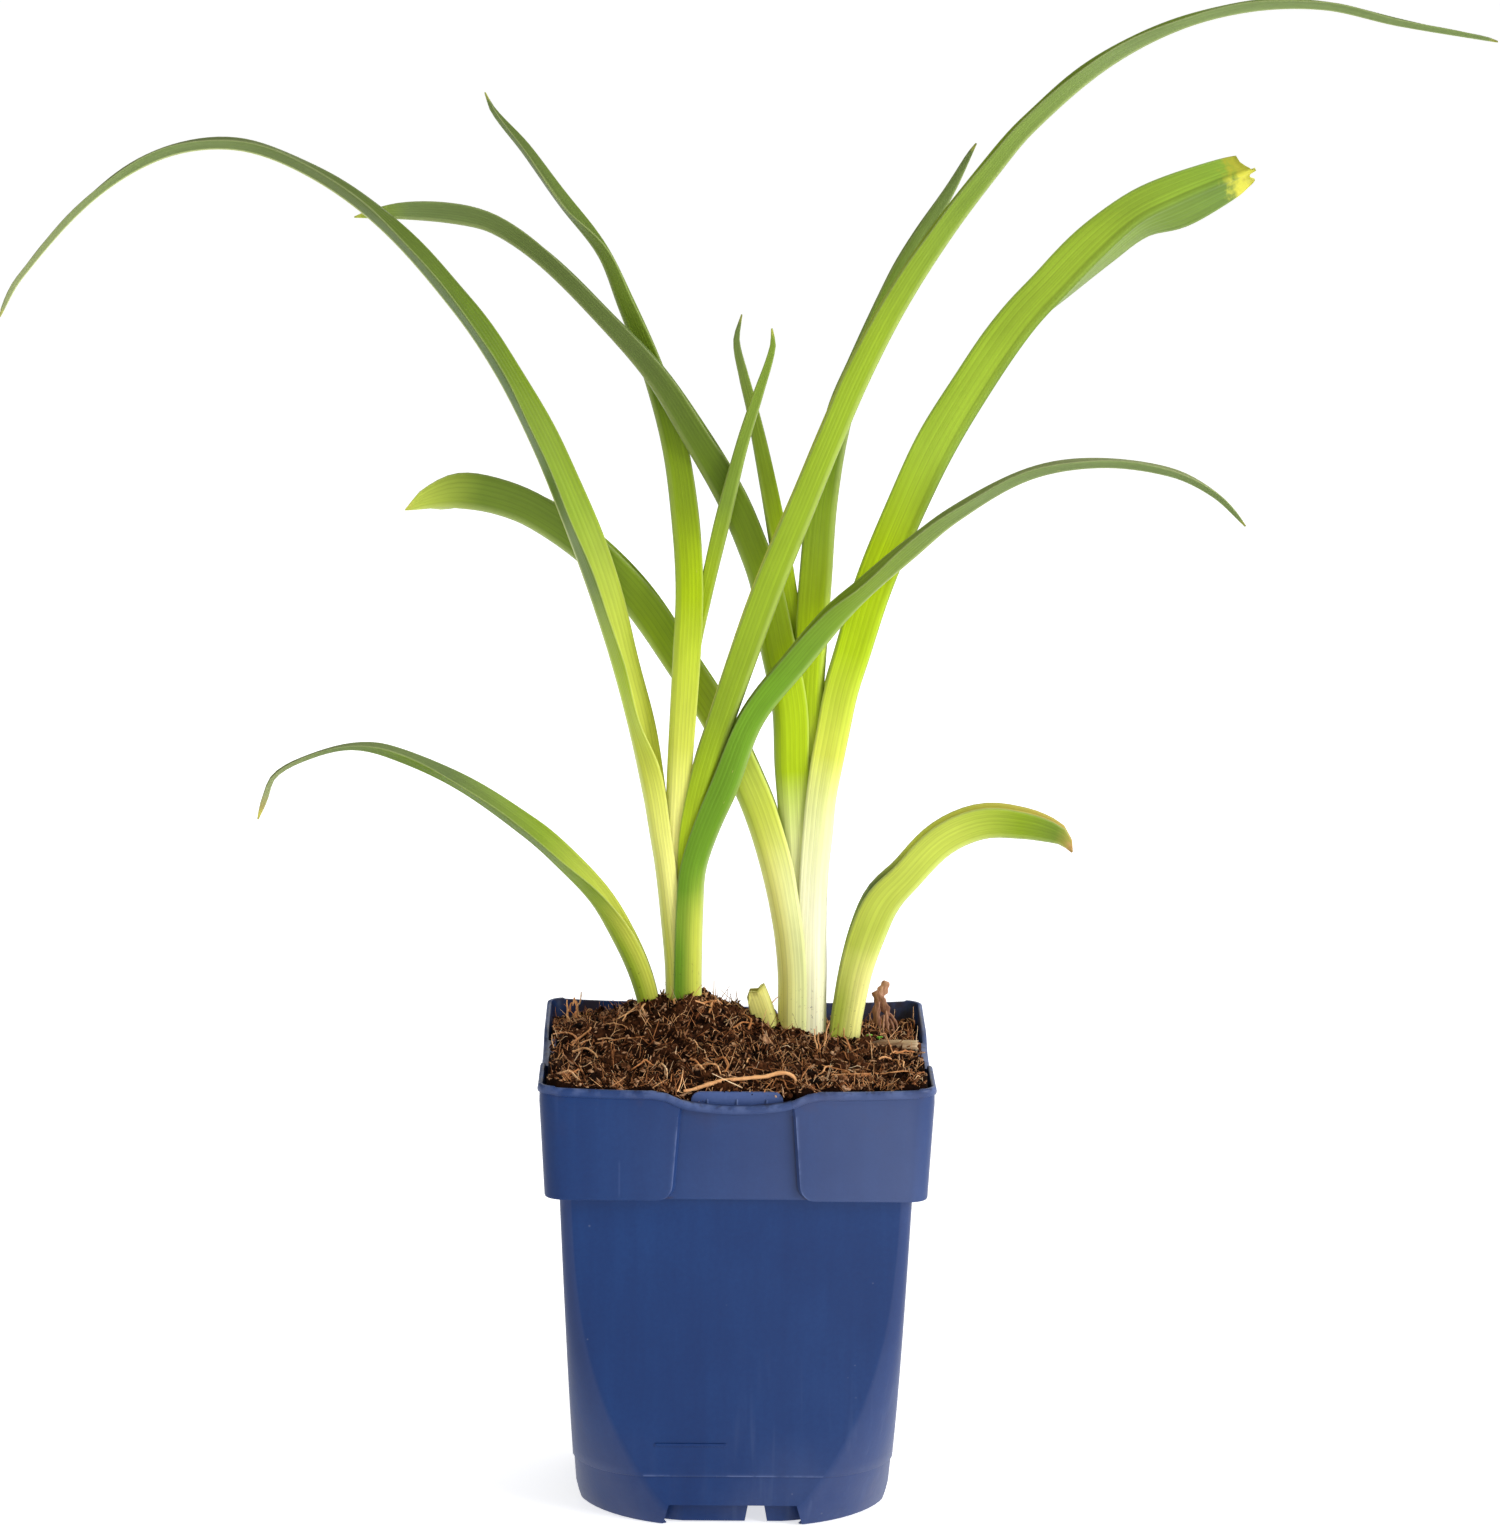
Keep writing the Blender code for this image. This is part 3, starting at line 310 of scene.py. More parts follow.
def leafMesh(leaf):
    length = sum(math.dist(a[:3], b[:3]) for a, b in zip(leaf["rows"], leaf["rows"][1:]))
    count = max(14, round(length / leafWork["step"]))
    places, rows = blendRows(leaf["rows"], count)
    if not leaf.get("cutEnd"):
        left = np.clip((places[-1] - places) / 5.0, 0, 1)
        rows[:, 3] *= 0.15 + 0.85 * np.sqrt(1 - (1 - left) ** 2)
    spine = rows[:, :3]
    along = np.gradient(spine, axis=0)
    along /= np.linalg.norm(along, axis=1, keepdims=True)
    viewer = np.array([0.0, -1.0, 0.0])
    front = viewer - along * (along @ viewer)[:, None]
    front /= np.linalg.norm(front, axis=1, keepdims=True)
    away = np.cross(along, front)
    wanted = np.stack([-along[:, 2], np.zeros(count), along[:, 0]], axis=1) * leaf["keelSide"]
    away *= np.where((away * wanted).sum(1) < 0, -1.0, 1.0)[:, None]
    shares = acrossShares()
    outer, inner = bladeSections(rows, shares, places)
    skins = []
    for section in (outer, inner):
        sideways = away[:, None, :] * section[..., :1]
        forwards = front[:, None, :] * section[..., 1:]
        skins.append(spine[:, None, :] + sideways + forwards)
    if leaf.get("cutEnd"):
        # the ragged end: each column stops a little sooner or later
        fade = np.clip((places - places[-1] + 7.0) / 7.0, 0, 1)[:, None] ** 2
        depth = np.interp(shares, leaf["cutEnd"][0], leaf["cutEnd"][1])
        for skin in skins:
            skin += along[:, None, :] * (fade * depth[None, :])[..., None]
    columns = len(shares)
    points = np.concatenate([skins[0], skins[1][:, ::-1]], axis=1).reshape(-1, 3)
    wide = 2 * columns
    faces = closedBand(count, wide)
    for row, turned in ((0, False), (count - 1, True)):
        for i in range(columns - 1):
            corners = [
                row * wide + i, row * wide + i + 1, row * wide + wide - 2 - i,
                row * wide + wide - 1 - i,
            ]
            faces.append(tuple(corners[::-1] if turned else corners))
    both = np.concatenate([shares, shares[::-1]])
    measures = {
        "share": np.repeat(places / places[-1], wide),
        "far": np.repeat(places, wide),
        "across": np.tile(both, count),
        "inner": np.tile(np.concatenate([np.zeros(columns), np.ones(columns)]), count),
    }
    return points, faces, measures


leafTones = {
    "cream": (250, 248, 205), "paleYellow": (248, 244, 145), "straw": (230, 224, 125),
    "yellowLime": (205, 212, 80), "lime": (170, 195, 15), "softLime": (185, 198, 75),
    "freshGreen": (180, 210, 65), "softGreen": (155, 192, 70), "grassGreen": (135, 160, 30),
    "midGreen": (112, 136, 40), "deepGreen": (95, 120, 10), "shadeGreen": (68, 98, 5),
    "darkGrey": (92, 108, 50), "greyGreen": (110, 128, 72), "paleGrey": (145, 154, 105),
    "paleLime": (230, 234, 160), "vividGreen": (105, 148, 30), "dryTip": (185, 160, 80),
}


def leafTone(name):
    return screenTone(*leafTones[name])


def leafFinish(name, leaf, length):
    finish = Finish(name)
    share = finish.measure("share")
    far = finish.measure("far")
    across = finish.measure("across")
    inner = finish.measure("inner")
    stops = {
        key: [(place, leafTone(tone)) for place, tone in leaf[key]] for key in ("outside", "inside")
    }
    skin = finish.mixed(
        inner, finish.ramp(share, stops["outside"]), finish.ramp(share, stops["inside"]),
    )
    seed = leaf.get("seed", 0.0)
    off = abs(across)

    # near the ground the colour also changes from the keel to the margin
    if leaf.get("lowTones"):
        high, low, atKeel, atMargin = leaf["lowTones"]
        band = finish.mixed(finish.ease(off, 0.1, 0.8), leafTone(atKeel), leafTone(atMargin))
        skin = finish.mixed(finish.ease(share, high, low), skin, band)

    # the wing behind the keel catches less light on some leaves
    if leaf.get("behindTone"):
        behind = finish.ease(
            across, leaf.get("behindEdge", 0.03), -0.03,
        ) * (1 - inner) * finish.ease(share, *leaf["behindFrom"])
        skin = finish.mixed(behind, skin, finish.mixed(1.0, skin, leaf["behindTone"], "MULTIPLY"))

    # fine parallel veins, darker than the blade, broken up along it
    streak = finish.grain(
        finish.point(across * 11.0, far * 0.011, inner * 3.0 + seed), 1.0, 5.0, 0.65,
    )
    drift = finish.grain(finish.point(across * 2.0, far * 0.015, inner + seed), 1.0, 2.0)
    count = leaf.get("veins", leafWork["veins"])
    lines = finish.maths("SINE", off * count * 6.283 + drift * 2.0) * 0.5 + 0.5
    veins = lines**7.0 * finish.ease(streak, 0.3, 0.6)
    fine = finish.grain(finish.point(across * 42.0, far * 0.02, seed + 7), 1.0, 2.0)
    tone = finish.ease(streak, 0.25, 0.75, 0.9, 1.1) * finish.ease(fine, 0.3, 0.7, 0.94, 1.04)
    tone = tone * (1 - veins * leafWork["veinTone"])
    patches = finish.grain(finish.point(across * 1.5, far * 0.035, seed + 3), 1.0, 3.0)
    tone = tone * finish.ease(patches, 0.3, 0.7, 0.93, 1.07)
    skin = finish.node("VectorMath", {"operation": "SCALE"}, {"Vector": skin, "Scale": tone})

    # the margins are paler than the blade; the keel is painted paler too, partly its own paler
    # tissue and partly a painted highlight along the ridge
    edge = finish.ease(off, 0.92, 1.0)
    skin = finish.mixed(edge * leafWork["marginTone"], skin, screenTone(222, 228, 168))
    keel = finish.ease(off, leafWork["keelWidth"], 0.0)
    skin = finish.mixed(
        keel * leaf.get("keelTone", leafWork["keelTone"]), skin, screenTone(222, 230, 160),
    )

    # withered end: yellow with brown spots
    ragged = finish.grain(finish.point(across * 2.2, far * 0.35, seed + 11), 1.0, 3.0)
    left = length - far + (ragged - 0.5) * leaf.get("wither", 3.0) * 1.6
    wither = finish.ease(left, leaf.get("wither", 3.0), leaf.get("wither", 3.0) * 0.35)
    skin = finish.mixed(
        wither * leaf.get("withered", 0.5), skin, screenTone(*leaf.get("endTone", (190, 186, 84))),
    )
    burnt = finish.ease(ragged, 0.56, 0.64) * finish.ease(left, leaf.get("wither", 3.0) * 0.6, 0.0)
    skin = finish.mixed(burnt * leaf.get("burnt", 0.0), skin, screenTone(128, 80, 50))

    # a few dry specks, and peat dust low on the blade
    speck = finish.grain(finish.point(across * 6.0, far * 0.22, seed), 1.0, 2.0, 0.7)
    specks = finish.ease(speck, 0.735, 0.78)
    skin = finish.mixed(specks * leaf.get("specks", 0.25), skin, screenTone(206, 184, 110))
    dust = finish.grain(finish.place(), 900.0, 3.0, 0.7)
    low = finish.ease(far, 30.0, 8.0)
    skin = finish.mixed(finish.ease(dust, 0.62, 0.7) * low * 0.75, skin, screenTone(70, 44, 24))

    relief = finish.bump(lines * 0.5 + streak * 0.8 + fine * 0.4, 0.0001, 0.6)
    gloss = finish.ease(
        streak, 0.2, 0.8, leafWork["roughness"] + 0.08, leafWork["roughness"] - 0.05,
    )
    # painted light: each leaf glows faintly in its own colour, more on the pale bases, in place of
    # light shining through
    finish.wear(
        BaseColor=skin, Roughness=gloss, Normal=relief,
        SubsurfaceWeight=leafWork["glow"], SubsurfaceScale=0.0012, SubsurfaceRadius=(0.7, 1.0, 0.3),
        SpecularIORLevel=leafWork["gloss"],
        EmissionColor=skin, EmissionStrength=leaf.get("shine", 0.02),
    )
    return finish


def makeLeaf(name, leaf):
    points, faces, measures = leafMesh(leaf)
    finish = leafFinish(name + "Skin", leaf, float(measures["far"].max()))
    piece = addPiece(
        name, meshFrom(name, points, faces, measures), finish, [leaf["node"]],
    )
    print("leaf", name, len(points), "points")
    return piece

leftLowLeaf = {
    "node": "left_leaf_1", "slot": "leaf_grey_green", "keelSide": -1,
    "rows": (
        (-26.3, 6, 131.3, 4.8, 1.8, 0, 0), (-27.6, 6, 139.3, 5.6, 1.8, 0, 0),
        (-30.6, 6, 148.6, 6, 1.6, 4, 2), (-35.4, 5.6, 158.8, 6.2, 1.3, 14, 6),
        (-41.3, 5, 169, 6.1, 1, 34, 13), (-49.8, 4, 178.4, 6.3, 0.8, 46, 18),
        (-60, 3, 188, 6.1, 0.7, 50, 18), (-80, 1, 202.7, 4.4, 0.6, 50, 15),
        (-99.6, -1, 211.9, 3.4, 0.5, 46, 4), (-110, -2, 213.8, 2, 0.4, 50, 0),
        (-121.4, -2.6, 211, 1.5, 0.4, 52, 0), (-130.6, -3, 205.8, 1.3, 0.4, 46, 0),
        (-133.4, -3, 198.6, 1.8, 0.4, 40, 0), (-135.6, -3, 193.6, 0.5, 0.2, 30, 0),
    ),
    "outside": (
        (0, "straw"), (0.1, "yellowLime"), (0.25, "grassGreen"), (0.4, "deepGreen"),
        (0.65, "deepGreen"), (0.8, "greyGreen"), (0.95, "paleGrey"), (1, "dryTip"),
    ),
    "inside": (
        (0, "straw"), (0.2, "yellowLime"), (0.4, "grassGreen"), (0.6, "greyGreen"), (1, "paleGrey"),
    ),
    "lowTones": (0.28, 0.15, "grassGreen", "yellowLime"),
    "seed": 1.0, "wither": 4.0, "withered": 0.8, "burnt": 0.6,
}

leftFrontLeaf = {
    "node": "left_leaf_2", "slot": "leaf_green", "keelSide": 1,
    "rows": (
        (-10.4, 6, 131.3, 7.4, 5, 0, 0), (-10.5, 6, 148.8, 7.4, 5, 0, 0),
        (-10.2, 5.6, 168, 7.2, 4.9, 0, 0), (-9.5, 5, 178.6, 7, 4.6, 0, 0),
        (-6.2, 4, 189.2, 7.2, 4, 0, 0), (-0.6, 2.4, 202.6, 7.6, 3.7, 0, 0),
        (6.3, 0.4, 221.9, 6.6, 2.4, 3, 0), (18.8, -1.6, 238.5, 6.9, 1.6, 8, 0),
        (28.4, -3, 251, 6.5, 1.2, 22, 4), (36, -4, 259.4, 5.8, 1, 42, 6),
        (48.3, -5, 270.6, 5.8, 0.8, 40, 0), (60, -6, 280.9, 4.6, 0.8, 42, 0),
        (79.6, -7.4, 292.9, 3.6, 0.7, 46, 0), (99.4, -8.6, 296.8, 3, 0.6, 46, 0),
        (119.2, -9.6, 294.6, 2.5, 0.5, 46, 0), (131.2, -10, 289, 2, 0.4, 44, 0),
        (140.4, -10.4, 280.6, 0.7, 0.2, 30, 0),
    ),
    "outside": (
        (0, "straw"), (0.08, "yellowLime"), (0.16, "vividGreen"), (0.4, "vividGreen"),
        (0.55, "midGreen"), (0.7, "greyGreen"), (1, "greyGreen"),
    ),
    "inside": (
        (0, "straw"), (0.2, "grassGreen"), (0.5, "grassGreen"), (0.8, "paleGrey"), (1, "paleGrey"),
    ),
    "lowTones": (0.2, 0.08, "yellowLime", "vividGreen"),
    "seed": 2.0, "specks": 0.5,
}

leftArchingLeaf = {
    "node": "left_leaf_3", "slot": "leaf_green", "keelSide": -1,
    "rows": (
        (-19.6, 6, 131.3, 5.5, 3.9, 0, 0), (-19.8, 6, 148.6, 5.5, 3.9, 0, 0),
        (-21.3, 5.7, 165, 5.4, 3.9, 0, 0), (-22.9, 5, 179, 5.4, 3.7, 0, 0),
        (-24.6, 4, 189.4, 5.6, 2.9, 2, 0), (-26.3, 3.4, 199.4, 6, 2.3, 8, 0),
        (-30.7, 3.4, 219.4, 7.7, 1.2, 44, 17), (-36.1, 3.4, 239.4, 8.7, 0.9, 52, 15),
        (-42.7, 3.2, 259.6, 9.9, 0.8, 51, 20), (-50.2, 2.8, 279.8, 10, 0.8, 55, 20),
        (-58.4, 2.2, 299.8, 9, 0.7, 56, 20), (-68.4, 1, 319.8, 7.6, 0.7, 56, 17),
        (-80.2, 0, 337.5, 6.8, 0.6, 54, 16), (-100.2, -1.6, 360.4, 5.8, 0.6, 56, 10),
        (-119.9, -3, 374.9, 4.8, 0.5, 56, 0), (-139.8, -4, 382.3, 4.3, 0.5, 54, 0),
        (-159.8, -5, 380.2, 4, 0.5, 54, 0), (-179.8, -5.6, 368.2, 2.5, 0.4, 50, 0),
        (-200, -6, 346.1, 1.7, 0.3, 44, 0), (-206, -6, 335.4, 0.8, 0.2, 30, 0),
    ),
    "outside": (
        (0, "straw"), (0.1, "paleYellow"), (0.2, "yellowLime"), (0.27, "lime"),
        (0.35, "deepGreen"), (0.5, "shadeGreen"), (0.7, "darkGrey"), (0.85, "greyGreen"),
        (1, "paleGrey"),
    ),
    "inside": (
        (0, "straw"), (0.25, "yellowLime"), (0.4, "grassGreen"), (0.55, "deepGreen"),
        (0.7, "darkGrey"), (1, "paleGrey"),
    ),
    "lowTones": (0.15, 0.05, "yellowLime", "paleYellow"),
    "seed": 3.0, "keelTone": 0.6,
}

leftTallLeaf = {
    "node": "left_leaf_4", "slot": "leaf_lime", "keelSide": 1,
    "rows": (
        (-12.3, 6, 131.3, 4.2, 2.8, 0, 0), (-12.4, 6, 148.8, 4.2, 2.8, 0, 0),
        (-11.8, 5.6, 168, 5, 2.8, 0, 0), (-11.2, 5, 178.6, 5.9, 2.8, 0, 0),
        (-10.1, 4, 189.2, 6.6, 2.8, 0, 0), (-8.4, 2.6, 199.6, 6.6, 2.6, 0, 0),
        (-5.8, 1.8, 209.8, 6.8, 2.7, 0, 0), (-2.6, 0.6, 219.9, 7, 1.2, 2, 0),
        (4.2, -0.6, 240, 7.6, 0.8, 10, 0), (11.3, -1.4, 260.2, 8, 0.7, 16, 0),
        (19, -1.6, 280.2, 7.6, 0.7, 18, 0), (26.8, -1.6, 300.2, 7.3, 0.7, 20, 0),
        (35.1, -1.4, 320.1, 7.2, 0.7, 20, 0), (45, -1, 340, 6.8, 0.7, 22, 0),
        (57.2, 0, 359.7, 6.2, 0.7, 26, 0), (69.9, 1, 377.1, 5.6, 0.6, 32, 0),
        (79.9, 1.6, 389.3, 5.4, 0.6, 36, 0), (99.8, 2.2, 406.7, 5.3, 0.6, 44, 0),
        (119.8, 2.8, 417.5, 3.9, 0.5, 48, 0), (140, 3, 422.8, 3.8, 0.5, 52, 0),
        (160, 3.2, 423.3, 3.1, 0.4, 52, 0), (180, 3.6, 419.1, 2.4, 0.4, 48, 0),
        (208.2, 4, 414.6, 0.8, 0.2, 30, 0),
    ),
    "outside": (
        (0, "straw"), (0.12, "lime"), (0.22, "grassGreen"), (0.5, "grassGreen"), (0.6, "midGreen"),
        (0.75, "greyGreen"), (1, "greyGreen"),
    ),
    "inside": ((0, "straw"), (0.3, "yellowLime"), (0.6, "grassGreen"), (1, "greyGreen")),
    "seed": 4.0,
}

leftUprightLeaf = {
    "node": "left_leaf_5", "slot": "leaf_green", "keelSide": -1,
    "rows": (
        (-18.2, 6, 131.3, 3.1, 1.7, 0, 0), (-18.4, 6, 148.8, 3.4, 1.7, 0, 0),
        (-19.8, 5.6, 168, 4.2, 1.7, 0, 0), (-20.2, 5, 178.6, 4.8, 1.7, 0, 0),
        (-20.2, 4, 189.2, 5.6, 1.7, 0, 0), (-19.9, 2.6, 199.6, 6.2, 1.7, 0, 0),
        (-19.6, 1.8, 209.8, 6.5, 1.7, 0, 0), (-18.4, 2.6, 239.5, 7.3, 1.7, 4, 0),
        (-17.7, 3.6, 259.4, 7.3, 1.6, 8, 0), (-19.1, 7.4, 279, 7.4, 0.8, 12, 0),
        (-21.9, 11.4, 298.6, 6.9, 0.7, 16, 0), (-27.4, 13.4, 318.6, 6.1, 0.7, 22, 0),
        (-34.9, 14, 338.6, 4.7, 0.6, 28, 0), (-40.5, 14.2, 352.4, 4.1, 0.6, 44, 0),
        (-51.3, 14.2, 366.2, 3.8, 0.5, 58, 22), (-61.8, 14.2, 380.8, 3, 0.5, 56, 20),
        (-70.5, 14.2, 391.8, 1.6, 0.4, 44, 6), (-72.6, 14.2, 397.3, 0.5, 0.2, 30, 0),
    ),
    "outside": (
        (0, "straw"), (0.2, "paleYellow"), (0.3, "yellowLime"), (0.45, "lime"),
        (0.55, "grassGreen"), (0.65, "deepGreen"), (0.75, "midGreen"), (0.88, "darkGrey"),
        (1, "greyGreen"),
    ),
    "inside": (
        (0, "straw"), (0.3, "yellowLime"), (0.45, "lime"), (0.65, "deepGreen"), (1, "darkGrey"),
    ),
    "seed": 5.0,
}

leftYoungLeaf = {
    "node": "left_leaf_6", "slot": "leaf_lime", "keelSide": 1,
    "rows": (
        (-13.6, 6, 131.3, 2.9, 0.6, 0, 0), (-13.7, 6, 148.8, 3, 0.6, 0, 0),
        (-13.9, 5, 178.6, 3.4, 0.6, 0, 0), (-14.2, 4, 189.2, 3.6, 0.6, 0, 0),
        (-14.3, 2.6, 199.6, 3.6, 0.6, 0, 0), (-13.9, 1.9, 209.8, 3.6, 0.6, 0, 0),
        (-12, 2.5, 239.5, 3.7, 0.6, 2, 0), (-8.5, 3.6, 257.4, 3.5, 0.6, 6, 0),
        (-3.4, 3, 279.6, 3.9, 0.6, 12, 0), (1.1, 1.8, 299.8, 3.1, 0.6, 18, 0),
        (5.4, 0.6, 315, 2.6, 0.5, 24, 0), (8.8, 0, 328.4, 1.5, 0.4, 28, 0),
        (8, 0, 333.6, 0.5, 0.2, 20, 0),
    ),
    "outside": (
        (0, "straw"), (0.2, "yellowLime"), (0.45, "yellowLime"), (0.6, "lime"), (0.75, "midGreen"),
        (1, "midGreen"),
    ),
    "inside": ((0, "straw"), (0.4, "yellowLime"), (0.65, "lime"), (0.8, "grassGreen"), (1, "lime")),
    "seed": 6.0, "veins": 4.0,
}

rightLowLeaf = {
    "node": "right_leaf_1", "slot": "leaf_lime", "keelSide": 1,
    "rows": (
        (34.6, 8.6, 121, 7.8, 2.6, 0, 0), (35.2, 8.6, 131, 8.2, 2.6, 0, 0),
        (36.4, 8.4, 138.8, 8.5, 2.4, 2, 0), (38.4, 8, 148.4, 9, 2.2, 4, -2),
        (41.7, 7.4, 158.2, 10, 2, 8, -2), (45.5, 6.6, 167.2, 10.2, 1.8, 12, 0),
        (50.8, 5.6, 174, 9.3, 1.6, 14, 0), (60.2, 4.6, 184.1, 9.6, 1.4, 16, 0),
        (70, 3.6, 188.9, 9.5, 1.2, 18, 0), (80.2, 2.8, 189.2, 8.5, 1, 20, 0),
        (88, 2.2, 188.4, 6.7, 0.9, 22, 0), (91.8, 2, 187.6, 4.6, 0.7, 26, 0),
        (94.9, 2, 185, 1.2, 0.3, 20, 0),
    ),
    "outside": (
        (0, "straw"), (0.1, "paleYellow"), (0.2, "paleYellow"), (0.32, "softLime"),
        (0.7, "softLime"), (0.85, "grassGreen"), (0.94, "midGreen"), (1, "dryTip"),
    ),
    "inside": (
        (0, "straw"), (0.3, "grassGreen"), (0.45, "greyGreen"), (0.6, "yellowLime"), (1, "dryTip"),
    ),
    "lowTones": (0.4, 0.15, "paleYellow", "softLime"),
    "seed": 7.0, "wither": 4.0, "withered": 0.7, "endTone": (196, 150, 96), "burnt": 0.8,
}

rightCrossingLeaf = {
    "node": "right_leaf_2", "slot": "leaf_green", "keelSide": -1,
    "rows": (
        (12.6, 10, 121, 7.5, 5, 0, 0), (
            12.6, 10, 137.8, 7.5, 5, 0, 0,
        ), (12.4, 10, 147.8, 7.6, 5, 0, 0),
        (11.4, 10, 157.8, 7.8, 5, 0, 0), (9.6, 10, 167.9, 8.2, 5, 0, 0),
        (7.2, 10.1, 177.9, 8.8, 5, 0, 0), (4.2, 10.4, 188, 8.9, 4.2, 0, 0),
        (0.4, 11, 197.9, 9.1, 2.6, 4, 0), (-9.5, 12.2, 218.5, 9.2, 1.2, 12, 0),
        (-19, 13.4, 233, 9.3, 0.9, 14, 0), (-32, 14.6, 251.4, 9.8, 0.8, 14, 0),
        (-45, 15.4, 265, 9.6, 0.8, 15, 0), (-59.9, 15.8, 275.3, 10.2, 0.8, 26, -10),
        (-70.3, 16, 279.2, 10.4, 0.8, 42, -28), (-80.6, 16, 280.6, 10, 0.7, 56, -44),
        (-88.6, 16, 280.4, 6.2, 0.6, 60, -42), (-95, 16, 279.4, 1, 0.2, 40, -20),
    ),
    "outside": (
        (0, "cream"), (0.2, "paleYellow"), (0.3, "yellowLime"), (0.4, "softLime"),
        (0.6, "grassGreen"), (0.75, "midGreen"), (0.9, "midGreen"), (1, "softLime"),
    ),
    "inside": (
        (0, "cream"), (0.4, "softLime"), (0.6, "grassGreen"), (0.9, "grassGreen"),
        (1, "yellowLime"),
    ),
    "lowTones": (0.35, 0.2, "straw", "paleLime"),
    "seed": 8.0, "specks": 0.5, "shine": 0.05,
}

rightBroadLeaf = {
    "node": "right_leaf_3", "slot": "leaf_lime", "keelSide": 1,
    "rows": (
        (25.2, 10, 121, 8.8, 3.9, 0, 0), (25.3, 10, 147.8, 8.6, 3.9, 0, 0),
        (25.1, 10, 157.8, 8.2, 3.9, 0, 0), (25.1, 10, 167.9, 7.8, 3.9, 0, 0),
        (25.5, 10, 177.9, 7.8, 3.9, 0, 0), (26.5, 10, 188, 8.2, 3.9, 0, 0),
        (27.3, 10, 198.1, 8.2, 3.9, 0, 0), (29.1, 9.9, 208.2, 8.8, 3.8, 0, 0),
        (31, 9.8, 218.2, 9, 3, 0, 0), (33, 9.6, 228.3, 9.3, 2.9, 0, 0),
        (36, 9.4, 238.4, 9.6, 2.2, 4, -4), (42.1, 9.2, 258.2, 10.4, 1.2, 8, -14),
        (50.3, 9, 278.7, 10.8, 0.9, 13, -27), (59.6, 8.8, 298.7, 11.8, 0.8, 17, -43),
        (71.3, 8.6, 318.8, 12.2, 0.8, 20, -56), (80.9, 8.4, 333, 13, 0.8, 24, -68),
        (88.8, 8.2, 342.1, 13, 0.8, 28, -75), (100.6, 8, 354.7, 12.8, 0.8, 33, -79),
        (110.5, 7.8, 363.8, 12, 0.8, 35, -87), (120.7, 7.6, 369.2, 11, 0.8, 44, -94),
        (131.2, 7.4, 374, 9.2, 0.7, 46, -94), (140.9, 7.2, 378.1, 7.2, 0.6, 43, -92),
    ),
    "outside": (
        (0, "cream"), (0.15, "cream"), (0.24, "paleLime"), (0.3, "yellowLime"), (0.4, "lime"),
        (0.5, "lime"), (0.6, "freshGreen"), (0.85, "freshGreen"), (1, "softGreen"),
    ),
    "inside": (
        (0, "cream"), (0.3, "yellowLime"), (0.5, "softLime"), (0.8, "softGreen"), (1, "softGreen"),
    ),
    "seed": 9.0, "wither": 9.0, "withered": 0.85, "endTone": (206, 200, 66), "burnt": 1.0,
    "keelTone": 0.0, "behindEdge": 0.26,
    "behindTone": (0.36, 0.38, 0.52), "behindFrom": (0.4, 0.55),
    "cutEnd": (
        (-1.0, -0.75, -0.6, -0.4, -0.15, -0.03, 0.0, 0.05, 0.3, 0.6, 1.0),
        (-3.0, -0.4, 0.5, -0.8, -0.5, 1.2, 1.5, 0.4, -0.7, -1.7, -2.0),
    ),
    "shine": 0.06,
}

rightArchingLeaf = {
    "node": "right_leaf_4", "slot": "leaf_grey_green", "keelSide": -1,
    "rows": (
        (13.9, 10, 121, 7.5, 2.8, 0, 0), (13.8, 10, 157.8, 7.5, 2.8, 0, 0),
        (13.1, 10, 177.9, 7.8, 2.8, 0, 0), (12.5, 10, 188, 8, 2.8, 0, 0),
        (11.7, 10, 198.1, 8.5, 2.8, 0, 0), (10.8, 9.9, 208.2, 9.2, 2.8, 0, 0),
        (9.9, 9.7, 224.8, 9.5, 2.8, 0, 0), (6.2, 9.3, 242.5, 9.5, 2.8, 0, 0),
        (3.6, 8.9, 258.6, 8.4, 1.8, 2, 0), (0.2, 8.3, 268.8, 8, 1.7, 3, 0),
        (-6.1, 7.6, 283.3, 8, 1, 8, 0), (-17, 6.7, 302.5, 7.2, 0.7, 12, 6),
        (-26.7, 7, 318.3, 5.8, 0.7, 14, 0), (-40.1, 7.4, 333.7, 4.6, 0.7, 16, 0),
        (-56.9, 8, 350.2, 4.4, 0.6, 20, -4), (-70.1, 8.6, 359, 5, 0.6, 40, -24),
        (-80.4, 9, 361.5, 5.6, 0.6, 50, -34), (-95.9, 9.4, 362.7, 4.4, 0.5, 52, -34),
        (-108.8, 9.6, 362.6, 1, 0.2, 36, -10),
    ),
    "outside": (
        (0, "cream"), (0.12, "cream"), (0.2, "paleLime"), (0.28, "lime"), (0.38, "lime"),
        (0.47, "grassGreen"), (0.56, "deepGreen"), (0.7, "darkGrey"), (0.85, "darkGrey"),
        (0.95, "greyGreen"), (1, "grassGreen"),
    ),
    "inside": (
        (0, "cream"), (0.3, "lime"), (0.5, "grassGreen"), (0.7, "shadeGreen"), (0.9, "greyGreen"),
        (1, "softLime"),
    ),
    "seed": 10.0, "wither": 4.0, "withered": 0.6,
}

